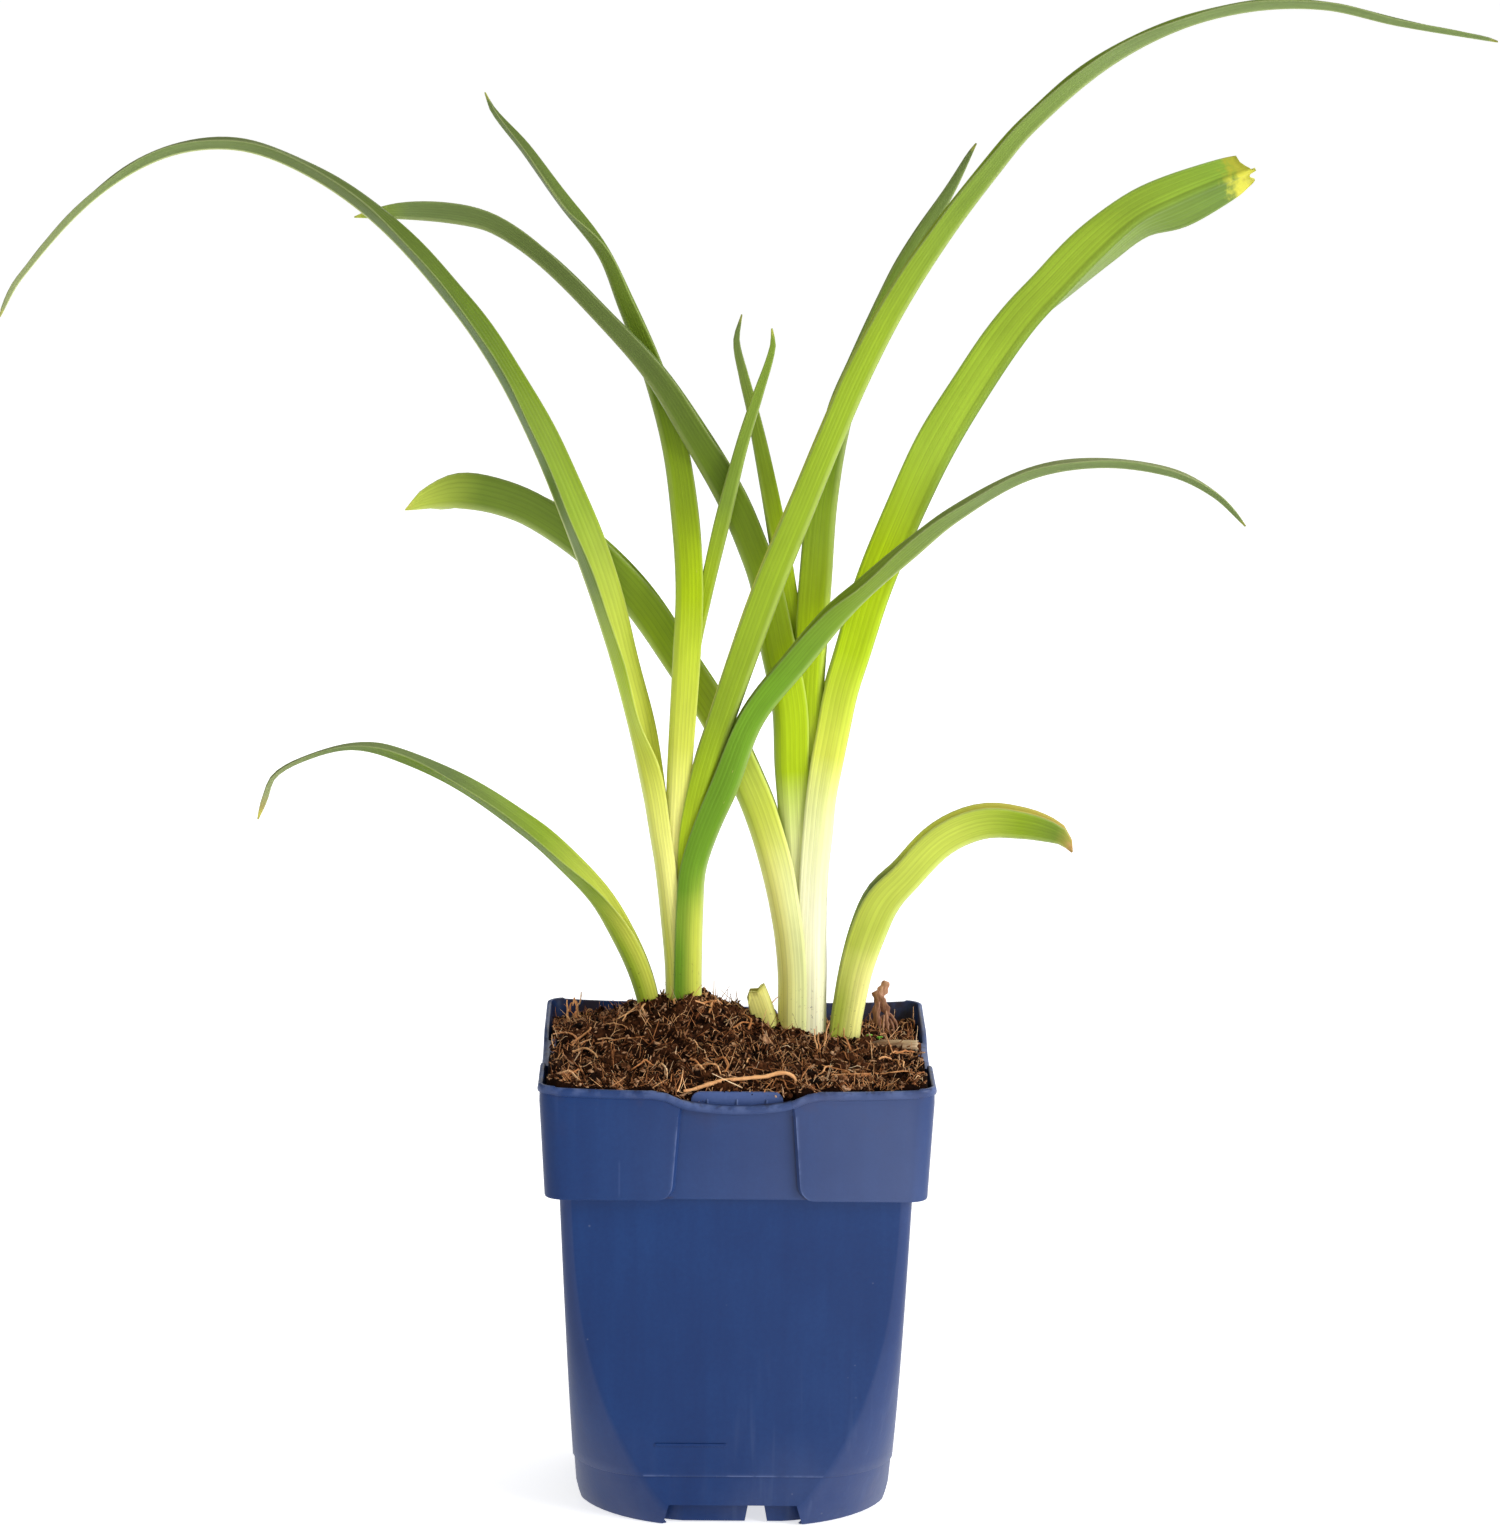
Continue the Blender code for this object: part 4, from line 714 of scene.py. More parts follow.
rightUprightLeaf = {
    "node": "right_leaf_5", "slot": "leaf_green", "keelSide": 1,
    "rows": (
        (24, 10, 121, 6.5, 1.7, 0, 0), (23.8, 10, 157.8, 6.5, 1.7, 0, 0),
        (23.7, 10, 188, 7.2, 1.7, 0, 0), (23.2, 9.9, 208.2, 7.8, 1.7, 0, 0),
        (23.4, 9.7, 228.3, 8.4, 1.7, 0, 0), (24.5, 9.3, 248.5, 8.7, 1.7, 0, 0),
        (25.2, 9.1, 260.6, 8.7, 1.5, 2, 0), (26.7, 9.4, 284.9, 8, 0.8, 8, 0),
        (30.6, 9.8, 308.2, 7, 0.7, 12, 0), (35.6, 10, 320.8, 6.8, 0.7, 14, 0),
        (46, 10.4, 345.8, 6, 0.7, 18, 0), (51.6, 10.6, 358.4, 4.4, 0.6, 20, 0),
        (58.9, 10.8, 372.2, 2.6, 0.5, 24, 0), (64.6, 11, 384.7, 0.7, 0.2, 20, 0),
    ),
    "outside": (
        (0, "cream"), (0.15, "cream"), (0.24, "paleLime"), (0.3, "yellowLime"), (0.38, "lime"),
        (0.48, "lime"), (0.56, "grassGreen"), (0.65, "deepGreen"), (0.8, "midGreen"),
        (1, "greyGreen"),
    ),
    "inside": (
        (0, "cream"), (0.3, "yellowLime"), (0.5, "grassGreen"), (0.9, "midGreen"), (1, "greyGreen"),
    ),
    "seed": 11.0,
}

rightYoungLeaf = {
    "node": "right_leaf_6", "slot": "leaf_lime", "keelSide": -1,
    "rows": (
        (15.3, 10, 121, 5, 0.6, 0, 0), (15.3, 10, 157.8, 5, 0.6, 0, 0),
        (14.7, 10, 198.1, 5.2, 0.6, 0, 0), (13.6, 9.7, 228.3, 5.4, 0.6, 0, 0),
        (11.9, 9.3, 248.5, 5.6, 0.6, 0, 0), (10.4, 9, 259.6, 5.4, 0.6, 0, 0),
        (8.4, 8.4, 272.8, 5, 0.6, 2, 0), (5.6, 8.6, 288.8, 4.3, 0.6, 10, 0),
        (1.8, 8.8, 308.8, 3.1, 0.6, 16, 0), (-0.6, 9, 318.8, 2.5, 0.5, 20, 0),
        (-2.4, 9, 329, 1.6, 0.4, 24, 0), (-0.4, 9, 336.5, 0.5, 0.2, 20, 0),
    ),
    "outside": (
        (0, "cream"), (0.2, "paleYellow"), (0.35, "yellowLime"), (0.5, "lime"), (0.65, "lime"),
        (0.8, "grassGreen"), (1, "greyGreen"),
    ),
    "inside": ((0, "cream"), (0.4, "lime"), (0.7, "grassGreen"), (1, "greyGreen")),
    "seed": 12.0, "veins": 4.0,
}

cutStub = {
    "node": "cut_leaf_stub", "slot": "leaf_lime", "keelSide": 1,
    "rows": (
        (11.6, 8.4, 121, 6, 2, 0, 0), (11.2, 8.2, 134, 6.2, 2, 0, 0), (9.4, 8, 140, 6.2, 1.9, 4, 0),
        (8, 8, 143.4, 5.8, 1.9, 6, 0),
    ),
    "outside": ((0, "straw"), (1, "straw")),
    "inside": ((0, "straw"), (1, "paleYellow")),
    "seed": 13.0, "wither": 0.5,
    "cutEnd": ((-1.0, -0.7, -0.3, 0.0, 0.35, 0.7, 1.0), (-1.0, 1.0, 0.2, 1.4, 0.3, 1.3, -1.8)),
}

for leafName, leaf in (
    ("leftLowLeaf", leftLowLeaf),
    ("leftFrontLeaf", leftFrontLeaf),
    ("leftArchingLeaf", leftArchingLeaf),
    ("leftTallLeaf", leftTallLeaf),
    ("leftUprightLeaf", leftUprightLeaf),
    ("leftYoungLeaf", leftYoungLeaf),
    ("rightLowLeaf", rightLowLeaf),
    ("rightCrossingLeaf", rightCrossingLeaf),
    ("rightBroadLeaf", rightBroadLeaf),
    ("rightArchingLeaf", rightArchingLeaf),
    ("rightUprightLeaf", rightUprightLeaf),
    ("rightYoungLeaf", rightYoungLeaf),
    ("cutStub", cutStub),
):
    makeLeaf(leafName, leaf)
print("leaves done")

# pot
pot = {
    "height": 129.5, "rimHalf": 55.0, "collarHeight": 32.8,
    "collarBottomHalf": 53.2, "collarCorner": 5.0,
    "bodyTopHalf": 49.15, "bodyTopCorner": 3.5,
    "baseHalf": 44.75, "baseCorner": 30.8, "rounding": 2.9,
    "crease": 0.24, "wall": 1.2, "stepHeight": 14.6, "stepDepth": 0.4,
    "panelTop": 14.8, "panelBottom": 17.2, "panelCorner": 4.2, "panelDepth": 1.8, "panelFold": 0.8,
    "lipHeight": 2.4, "scoopHalf": 22.5, "sag": 1.1, "scoopSide": 3.0, "scoopBottom": 1.2,
    "floorUnder": 6.4, "floorTop": 7.6, "footHalf": 14.0, "footCorner": 9.5, "ringInset": 4.0,
    "notchWidth": 42.4, "notchHeight": 6.1, "notchReach": (42.1, 47.0),
    "slotCentre": 6.6, "slotTop": 4.2, "slotBottom": 6.4,
    "drainRadius": 4.0, "drainCircle": 27.0,
    "mouldRib": (20.0, 0.7, 0.9), "mouldRibPlace": (-12.0, 24.2),
    "tabSize": (25.5, 1.1, 16.0), "tabTop": 127.7, "tabCorner": 2.6, "tabRibs": (-8.2, 0.0, 8.2),
}
pot["collarBottom"] = pot["height"] - pot["collarHeight"]


def bodyHalf(z):
    return pot["baseHalf"] + (pot["bodyTopHalf"] - pot["baseHalf"]) * z / pot["collarBottom"]


def bodyCorner(z):
    left = max(0.0, 1 - z / pot["collarBottom"])
    return pot["bodyTopCorner"] + (
        pot["baseCorner"] - pot["bodyTopCorner"]
    ) * left ** pot["rounding"]


def collarHalf(z):
    share = (pot["height"] - z) / pot["collarHeight"]
    return pot["rimHalf"] + (pot["collarBottomHalf"] - pot["rimHalf"]) * share


def panelInner(z):
    # half the recessed middle of a collar side, opening out where a panel's lower corner is rounded
    share = (pot["height"] - z) / pot["collarHeight"]
    corner = pot["panelCorner"]
    low = min(1.0, max(0.0, (corner - (z - pot["collarBottom"])) / corner))
    flare = corner * (1 - math.sqrt(1 - low**2))
    return pot["panelTop"] + (pot["panelBottom"] - pot["panelTop"]) * share + flare


def scoopDrop(x):
    # the rim sags a little all along and is scooped out in the middle, with a nearly level bottom
    x = np.abs(x)
    sag = pot["sag"] * (1 - np.minimum(1.0, x / pot["rimHalf"]) ** 4)
    share = np.clip((pot["scoopHalf"] - x) / 9.5, 0, 1)
    bottom = np.clip(1 - (x / 14.0) ** 2, 0, 1)
    return sag + pot["scoopSide"] * share * share * (3 - 2 * share) + pot["scoopBottom"] * bottom


def quarterTurned(x, y, z, quarter):
    for _ in range(quarter):
        x, y = -y, x
    return (x, y, z)


def potRing(z, half, corner, recess=0.0, scooped=0.0, cornerSteps=12):
    flat = half - corner
    edge = min(panelInner(min(z, pot["height"])), flat - pot["panelFold"] - 0.5)
    fold = pot["panelFold"]
    side = list(np.linspace(flat, edge + fold, 10)) + [edge + 0.7 * fold, edge + 0.3 * fold]
    side += list(np.linspace(edge, 0.0, 9))
    side = [-x for x in side] + side[-2::-1]
    ring = []
    for quarter in range(4):
        for x in side:
            share = min(1.0, max(0.0, (edge + fold - abs(x)) / fold))
            inset = recess * (0.4 * share + 0.6 * share * share * (3 - 2 * share))
            ring.append(quarterTurned(x, inset - half, z - scooped * scoopDrop(x), quarter))
        crease = pot["crease"] * min(1.0, corner / 12)  # a corner starts with a slight edge
        for step in range(1, cornerSteps):
            turn, share = math.pi / 2 * step / cornerSteps, step / cornerSteps
            out = corner * ((1 - crease) * math.sin(turn) + crease * share)
            back = corner * ((1 - crease) * math.cos(turn) + crease * (1 - share))
            ring.append(quarterTurned(flat + out, -flat - back, z, quarter))
    return ring


def potRings():
    wall, deep, step = pot["wall"], pot["panelDepth"], pot["stepDepth"]
    bottom, top = pot["collarBottom"], pot["height"]
    rings = []

    def body(z, inset=0.0):
        rings.append(
            potRing(z, bodyHalf(z) - inset, bodyCorner(z) - min(inset, bodyCorner(z) - 0.5))
        )

    def collar(z, inset=0.0, recess=deep, scooped=0.0):
        rings.append(
            potRing(z, collarHalf(z) - inset, pot["collarCorner"] - inset, recess, scooped)
        )

    def plain(z, half, corner):
        rings.append(potRing(z, half, corner))

    foot, footCorner, under = pot["footHalf"], pot["footCorner"], pot["floorUnder"]
    plain(0.0, foot - 1.0, footCorner - 1.0)
    plain(0.3, foot - 0.6, footCorner - 0.6)
    plain(under, foot, footCorner)
    ringHalf = pot["baseHalf"] - pot["ringInset"]
    ringCorner = pot["baseCorner"] - pot["ringInset"]
    for z, inset in (
        (under, wall), (0.5, wall), (0.3, wall - 0.2), (0.3, 0.2), (0.5, 0.0), (under, 0.0),
    ):
        plain(z, ringHalf - inset, ringCorner - inset)
    for z, inset in (
        (under, wall), (0.25, wall), (0.0, wall - 0.25), (0.0, 0.3), (0.1, 0.1), (0.35, 0.0),
    ):
        body(z, inset + step)
    for z in (4.0, 8.0, 11.5, 14.2, 14.5):
        body(z, step)
    body(pot["stepHeight"], step)
    body(pot["stepHeight"] + 0.05, 0.12)
    body(pot["stepHeight"] + 0.2, 0.0)
    for z in (
        18.0, 22.0, 26.0, 31.0, 36.0, 42.0, 48.0, 55.0, 62.0, 70.0, 78.0, 86.0, 93.0, bottom - 0.3,
    ):
        body(z)
    body(bottom, -0.15)
    collar(bottom, 0.55)
    collar(bottom + 0.12, 0.14)
    collar(bottom + 0.5, 0.0)
    for z in (97.6, 98.2, 99.0, 100.0, 101.0, 104.0, 109.0, 115.0, 121.0):
        collar(z)
    collar(124.5, 0.0, deep, 0.62)
    lip = top - pot["lipHeight"]  # the rim is a small rounded bead
    collar(lip - 0.3, 0.16, deep, 1.0)
    collar(lip, 0.2, deep - 0.2, 1.0)
    collar(lip + 0.12, -0.1, 0.15, 1.0)
    collar(lip + 0.5, -0.26, 0.0, 1.0)
    collar(lip + 1.1, -0.34, 0.0, 1.0)
    collar(top - 0.6, -0.2, 0.0, 1.0)
    collar(top - 0.2, 0.0, 0.0, 1.0)
    collar(top, 0.35, 0.0, 1.0)
    collar(top, wall - 0.35, deep * 0.4, 1.0)
    collar(top - 0.12, wall - 0.1, deep * 0.8, 1.0)
    collar(top - 0.4, wall, deep, 1.0)
    for z in (121.0, 112.0, 104.0, bottom + wall):
        collar(z, wall)
    for z in (bottom + wall, 86.0, 70.0, 55.0, 42.0, 30.0, 20.0, pot["floorTop"] + 0.5):
        body(z, wall)
    plain(pot["floorTop"], bodyHalf(8) - wall - 0.5, bodyCorner(8) - wall - 0.5)
    plain(pot["floorTop"], foot - wall, footCorner - wall)
    plain(wall, foot - wall - 0.6, footCorner - wall - 0.6)
    return rings


def addBlock(bm, size, centre, quarter=0, narrowTop=1.0):
    for vert in bmesh.ops.create_cube(bm, size=1.0)["verts"]:
        width = size[0] * (narrowTop if vert.co.z > 0 else 1.0)
        place = (
            centre[0] + vert.co.x * width, centre[1] + vert.co.y * size[1],
            centre[2] + vert.co.z * size[2],
        )
        vert.co = Vector(quarterTurned(*place, quarter)) * mm


def potCutters():
    # notches in the skirt, slots in the ring under the floor, and the drain holes
    near, far = pot["notchReach"]
    ringMiddle = pot["baseHalf"] - pot["ringInset"] - pot["wall"] / 2
    bm = bmesh.new()
    for quarter in range(4):
        notch = (pot["notchWidth"], far - near, 2 * pot["notchHeight"])
        addBlock(bm, notch, (0, -(near + far) / 2, 0), quarter, 0.85)
        slot = (pot["slotBottom"], pot["wall"] + 1.6, pot["notchHeight"])
        narrow = pot["slotTop"] / pot["slotBottom"]
        addBlock(
            bm, slot, (pot["slotCentre"], -ringMiddle, pot["notchHeight"] / 2), quarter, narrow,
        )
    for index in range(8):
        turn = math.pi * (index + 0.5) / 4
        round_ = bmesh.ops.create_cone(
            bm, cap_ends=True, segments=32, radius1=pot["drainRadius"] * mm,
            radius2=pot["drainRadius"] * mm, depth=4 * mm,
        )
        place = (pot["drainCircle"] * math.cos(turn), pot["drainCircle"] * math.sin(turn), 7.0)
        bmesh.ops.translate(bm, verts=round_["verts"], vec=Vector(place) * mm)
    mesh = bpy.data.meshes.new("potCutters")
    bm.to_mesh(mesh)
    bm.free()
    return bpy.data.objects.new("potCutters", mesh)


def tabPoints():
    # the label tab's front outline, with rounded top corners
    width, _, tall = pot["tabSize"]
    half, corner = width / 2, pot["tabCorner"]
    outline = [(-half, 0.0), (half, 0.0)]
    for side in (1, -1):
        for step in range(7):
            turn = math.radians(15 * step if side > 0 else 90 - 15 * step)
            x = side * (half - corner + corner * math.cos(turn))
            outline.append((x, tall - corner + corner * math.sin(turn)))
    return outline


def makeTabs(finish):
    lean = (pot["rimHalf"] - pot["collarBottomHalf"]) / pot["collarHeight"]
    middle = pot["tabTop"] - pot["tabSize"][2] / 2
    reach = collarHalf(middle) - pot["panelDepth"] - pot["wall"]
    bm = bmesh.new()

    edge = bm.verts.layers.float.new("edge")

    def prism(outline, front, back, quarter, pale=0.0):
        loops = []
        for depth in (front, back):
            loop = []
            for x, rise in outline:
                z = pot["tabTop"] - pot["tabSize"][2] + rise
                y = -(reach + depth + lean * (z - middle))
                loop.append(bm.verts.new(Vector(quarterTurned(x, y, z, quarter)) * mm))
                loop[-1][edge] = pale
            loops.append(loop)
        count = len(outline)
        bm.faces.new(loops[0])
        bm.faces.new(loops[1][::-1])
        for i in range(count):
            j = (i + 1) % count
            bm.faces.new((loops[0][j], loops[0][i], loops[1][i], loops[1][j]))

    thick = pot["tabSize"][1] / 2
    for quarter in range(4):
        prism(tabPoints(), thick, -thick, quarter)
        # the ribs are marked with edge 1, which paints them pale: a painted highlight on their edges
        for x in pot["tabRibs"]:
            rib = [(x - 0.3, 9.4), (x + 0.3, 9.4), (x + 0.22, 14.0), (x - 0.22, 14.0)]
            prism(rib, thick + 0.35, thick - 0.1, quarter, 1.0)
    bmesh.ops.recalc_face_normals(bm, faces=bm.faces)
    mesh = bpy.data.meshes.new("labelTabs")
    bm.to_mesh(mesh)
    bm.free()
    tabs = addPiece("labelTabs", mesh, finish, [], smooth=False)
    rounding = tabs.modifiers.new("rounding", "BEVEL")
    rounding.width = 0.18 * mm
    rounding.segments = 2
    rounding.limit_method = "ANGLE"


def markPot(mesh):
    # "rim" is 1 on the lip's top edge, "inner" on the inside walls, "edge" along the panels and
    # the step, "corner" past the flat sides of the body; one fold of each side is marked for
    # a painted shade line on its wall that faces away from the key lamp
    spots = np.empty(len(mesh.vertices) * 3, np.float32)
    mesh.vertices.foreach_get("co", spots)
    x, y, z = (spots.reshape(-1, 3) / mm).T
    side = np.minimum(np.abs(x), np.abs(y))
    drop = scoopDrop(side)
    rim = np.clip(1 - (pot["height"] - drop - z) / 2.3, 0, 1)
    collar = z > pot["collarBottom"] - 0.2
    half = np.where(collar, collarHalf(z), bodyHalf(z))
    corner = np.where(collar, pot["collarCorner"], [bodyCorner(high) for high in z])
    qx, qy = np.abs(x) - half + corner, np.abs(y) - half + corner
    away = np.hypot(
        np.maximum(qx, 0), np.maximum(qy, 0),
    ) + np.minimum(np.maximum(qx, qy), 0) - corner
    recessed = collar & (side < pot["panelBottom"] + 2) & (
        z < pot["height"] - drop - pot["lipHeight"] + 0.3
    )
    inner = (away < np.where(recessed, -2.2, -0.7)) & (z > pot["floorUnder"] + 0.4)
    outer = np.array([panelInner(min(high, pot["height"])) for high in z]) + pot["panelFold"]
    edge = collar & (np.abs(side - outer) < 0.06) & (away > -0.1)
    rightward = np.where(np.abs(y) > np.abs(x), -x * np.sign(y), y * np.sign(x)) > 0
    gap = collar & rightward & (
        np.abs(side - outer + pot["panelFold"]) < 0.06
    ) & (away > -2.1) & (z < 127)
    edge = edge | ((np.abs(z - pot["stepHeight"] - 0.2) < 0.03) & (away > -0.1))
    corner = ~collar & (qx > 0.05) & (qy > 0.05)
    for name, values in (
        ("rim", rim), ("inner", inner), ("edge", edge), ("corner", corner), ("gap", gap),
    ):
        layer = mesh.attributes.new(name, "FLOAT", "POINT")
        layer.data.foreach_set("value", values.astype(np.float32))


def stroke(finish, across, along, middle, width, start, end):
    # 1 on a thin straight line, soft at its ends
    line = finish.ease(abs(across - middle), 0.3 * width, 0.7 * width, 1.0, 0.0)
    return line * finish.ease(along, start, start + 2) * finish.ease(along, end - 2, end, 1.0, 0.0)


def bluePlastic(name, tones):
    finish = Finish(name)
    place = finish.place()
    left, deep, high = (finish.axis(place, index) * 1000 for index in range(3))
    rim, inner, edge, corner = (finish.measure(name) for name in ("rim", "inner", "edge", "corner"))
    cloud = finish.grain(place, 22.0, 4.0)
    streaks = finish.grain(finish.stretched(place, (1.0, 1.0, 0.07)), 190.0, 3.0)
    speckle = finish.grain(place, 900.0, 2.0)
    tone = cloud * 0.45 + streaks * 0.35 + speckle * 0.2
    dark, plain, light = (screenTone(*level) for level in tones)
    colour = finish.ramp(tone, [(0.34, dark), (0.5, plain), (0.66, light)])
    # painted sheen: the collar is painted paler towards its right, where the key lamp's sheen falls;
    # the body hardly
    paintedSheen = finish.ease(left, -62.0, 75.0) * finish.ease(high, 96.0, 97.4, 0.16, 1.0)
    paintedSheen = paintedSheen * (0.33 + cloud * 0.33) * finish.ease(left, 47.0, 54.0, 1.0, 0.4)
    colour = finish.mixed(paintedSheen, colour, screenTone(92, 102, 138))
    # dull towards the body's corners
    colour = finish.mixed(corner * (0.05 + cloud * 0.2), colour, screenTone(88, 92, 122))
    # rubbed places: upright scuffs on the collar and the lower body
    scuffs = finish.ease(
        finish.grain(finish.stretched(place, (1.0, 1.0, 0.05)), 330.0, 2.0), 0.56, 0.74,
    )
    rubbed = finish.ease(finish.grain(place, 14.0, 3.0), 0.46, 0.7)
    colour = finish.mixed(scuffs * rubbed * 0.14, colour, screenTone(96, 112, 150))
    scratch = stroke(finish, left, high, -32.4, 0.5, 97, 109) * (deep < -40)
    colour = finish.mixed(scratch * 0.1, colour, screenTone(96, 114, 164))
    # pale dust low down, small pale specks anywhere
    dust = finish.ease(high, 0.0, 34.0, 1.0, 0.0) * finish.ease(cloud, 0.4, 0.7)
    colour = finish.mixed(dust * 0.2, colour, screenTone(104, 104, 124))
    dots = finish.ease(finish.cells(place, 210.0), 0.05, 0.09, 1.0, 0.0)
    keep = finish.ease(finish.grain(place, 60.0, 1.0), 0.6, 0.64)
    colour = finish.mixed(dots * keep * 0.18, colour, screenTone(130, 134, 150))
    # peat smears: brown under the rim, heavier on the inner walls
    smear = finish.ease(finish.grain(place, 120.0, 4.0), 0.5, 0.68)
    near = finish.ease(high, 112.0, 129.0)
    colour = finish.mixed(smear * near * 0.14, colour, screenTone(78, 58, 48))
    inner = inner * finish.ease(high, 70.0, 90.0)
    soiled = finish.ease(finish.grain(place, 160.0, 4.0), 0.42, 0.62)
    colour = finish.mixed(inner * soiled * 0.75, colour, screenTone(52, 36, 28))
    # pale edges, partly rubbed wear and partly a painted highlight where the rim bead, the panel
    # folds, the step and the tab ribs catch the light; crumbs on the rim
    patchy = finish.ease(finish.grain(place, 210.0, 4.0), 0.4, 0.62)
    rubbedAndHighlit = rim * (1 - inner) * (0.12 + patchy * 0.4) + edge ** 12 * (0.15 + patchy * 0.5)
    colour = finish.mixed(rubbedAndHighlit, colour, screenTone(112, 128, 172))
    # painted shade: a dark line in the marked fold of each side, on the fold wall turned from the
    # light
    colour = finish.mixed(finish.measure("gap") ** 5 * 0.8, colour, screenTone(8, 18, 46))
    crumbs = rim ** 3 * finish.ease(finish.grain(place, 520.0, 3.0), 0.56, 0.64)
    colour = finish.mixed(crumbs * 0.5, colour, screenTone(36, 26, 24))
    rough = finish.ease(tone, 0.3, 0.7, 0.34, 0.46)
    relief = finish.bump(speckle * 0.5 + streaks * 0.5 + cloud * 3, 0.00012, 0.5)
    finish.wear(BaseColor=colour, Roughness=rough, Normal=relief, SpecularIORLevel=0.22)
    return finish


def makeMouldRib(finish):
    # a short low rib across the front, left by the mould
    wide, deep, tall = pot["mouldRib"]
    middle = pot["mouldRibPlace"]
    bm = bmesh.new()
    addBlock(bm, (wide, deep, tall), (middle[0], -bodyHalf(middle[1]), middle[1]))
    mesh = bpy.data.meshes.new("mouldRib")
    bm.to_mesh(mesh)
    bm.free()
    rib = addPiece("mouldRib", mesh, finish, [], smooth=False)
    rounding = rib.modifiers.new("rounding", "BEVEL")
    rounding.width = 0.15 * mm
    rounding.segments = 2


def makePot():
    rings = potRings()
    count = len(rings[0])
    faces = closedBand(len(rings), count)
    faces.append(tuple(reversed(range(count))))
    faces.append(tuple((len(rings) - 1) * count + i for i in range(count)))
    points = np.array(rings).reshape(-1, 3)
    mesh = bpy.data.meshes.new("nurseryPot")
    mesh.from_pydata((points * mm).tolist(), [], faces)
    mesh.update()
    cutters = potCutters()
    bpy.context.scene.collection.objects.link(cutters)
    shell = bpy.data.objects.new("potShell", mesh)
    bpy.context.scene.collection.objects.link(shell)
    cut = shell.modifiers.new("openings", "BOOLEAN")
    cut.object = cutters
    cut.solver = "EXACT"
    cut.use_self = True
    graph = bpy.context.evaluated_depsgraph_get()
    made = bpy.data.meshes.new_from_object(shell.evaluated_get(graph))
    made.name = "nurseryPot"
    bpy.data.objects.remove(shell)
    bpy.data.objects.remove(cutters)
    made.materials.clear()
    markPot(made)
    finish = bluePlastic("bluePlastic", ((2, 39, 92), (5, 45, 99), (12, 52, 107)))
    made.shade_smooth()
    made.set_sharp_from_angle(angle=math.radians(40))
    addPiece("nurseryPot", made, finish, ["pot"], smooth=False)
    makeMouldRib(finish)
    # painted light: the tabs are the pot's own plastic in lighter tones, so they read as lit where
    # the mix shades them
    makeTabs(bluePlastic("tabPlasticLit", ((48, 72, 126), (58, 82, 136), (70, 94, 146))))
    print("pot done:", len(made.polygons), "faces")


makePot()

# potting mix: a crust, crumbs and root hairs
soil = {
    "columns": 420, "rings": 84, "inset": 1.65, "recess": 2.3,
    "level": 130.0, "ridge": -2.0, "frontFall": 0.0006, "backFall": 0.0027,
    "mound": (-14.0, 8.0, 11.5), "leftSpread": 17.0, "rightSpread": 14.5,
    "frontSpread": 20.0, "backSpread": 20.0,
    "dip": (50.0, 8.0, 3.0, 8.0, 15.0), "scoop": 2.6,
    "swells": ((13.0, 1.6, 3), (6.0, 2.4, 5), (3.2, 2.4, 8), (1.5, 1.3, 9)),  # spacing, height, seed
    "grains": 7000, "bits": 5600, "lumps": 380, "hairs": 1500, "tufts": 1100, "roots": 70,
}


def meshWith(name, points, faces, measures):
    # points in millimetres, faces of any length
    mesh = bpy.data.meshes.new(name)
    mesh.from_pydata((np.asarray(points) * mm).tolist(), [], faces)
    for key, values in measures.items():
        layer = mesh.attributes.new(key, "FLOAT", "POINT")
        layer.data.foreach_set("value", np.asarray(values, np.float32))
    mesh.update()
    return mesh


def patchwork(x, y, spacing, seed):
    # smooth random heights from -0.5 to 0.5
    table = np.random.default_rng(seed).random((120, 120))
    u, v = x / spacing + y / spacing * 0.3 + 60, y / spacing - x / spacing * 0.3 + 60
    i, j = np.clip(np.floor(u).astype(int), 0, 118), np.clip(np.floor(v).astype(int), 0, 118)
    s, t = u - i, v - j
    s, t = s * s * (3 - 2 * s), t * t * (3 - 2 * t)
    low = table[i, j] * (1 - s) + table[i + 1, j] * s
    high = table[i, j + 1] * (1 - s) + table[i + 1, j + 1] * s
    return low * (1 - t) + high * t - 0.5


def plainTop(x, y):
    fall = np.where(
        y < soil["ridge"], soil["frontFall"], soil["backFall"],
    ) * (y - soil["ridge"]) ** 2
    middleX, middleY, rise = soil["mound"]
    wideX = np.where(x < middleX, soil["leftSpread"], soil["rightSpread"])
    wideY = np.where(y < middleY, soil["frontSpread"], soil["backSpread"])
    mound = rise * np.exp(-(((x - middleX) / wideX) ** 2 + ((y - middleY) / wideY) ** 2) / 2)
    dipX, dipY, depth, dipWide, dipLong = soil["dip"]
    dip = depth * np.exp(-(((x - dipX) / dipWide) ** 2 + ((y - dipY) / dipLong) ** 2) / 2)
    scoop = soil["scoop"] * np.exp(-(((y + 51.5) / 3.6) ** 2)) / (
        1 + np.exp((np.abs(x) - 16.5) / 1.2)
    )
    return soil["level"] - fall + mound - dip - scoop


def soilTop(x, y):
    x, y = np.asarray(x, float), np.asarray(y, float)
    height = plainTop(x, y)
    for spacing, rise, seed in soil["swells"]:
        height = height + rise * patchwork(x, y, spacing, seed)
    return height


def evenRing(ring, count):
    ring = np.array(ring + ring[:1], float)
    lengths = np.concatenate([[0.0], np.cumsum(np.linalg.norm(np.diff(ring, axis=0), axis=1))])
    places = np.linspace(0, lengths[-1], count, endpoint=False)
    return np.stack([np.interp(places, lengths, ring[:, k]) for k in range(3)], axis=1)


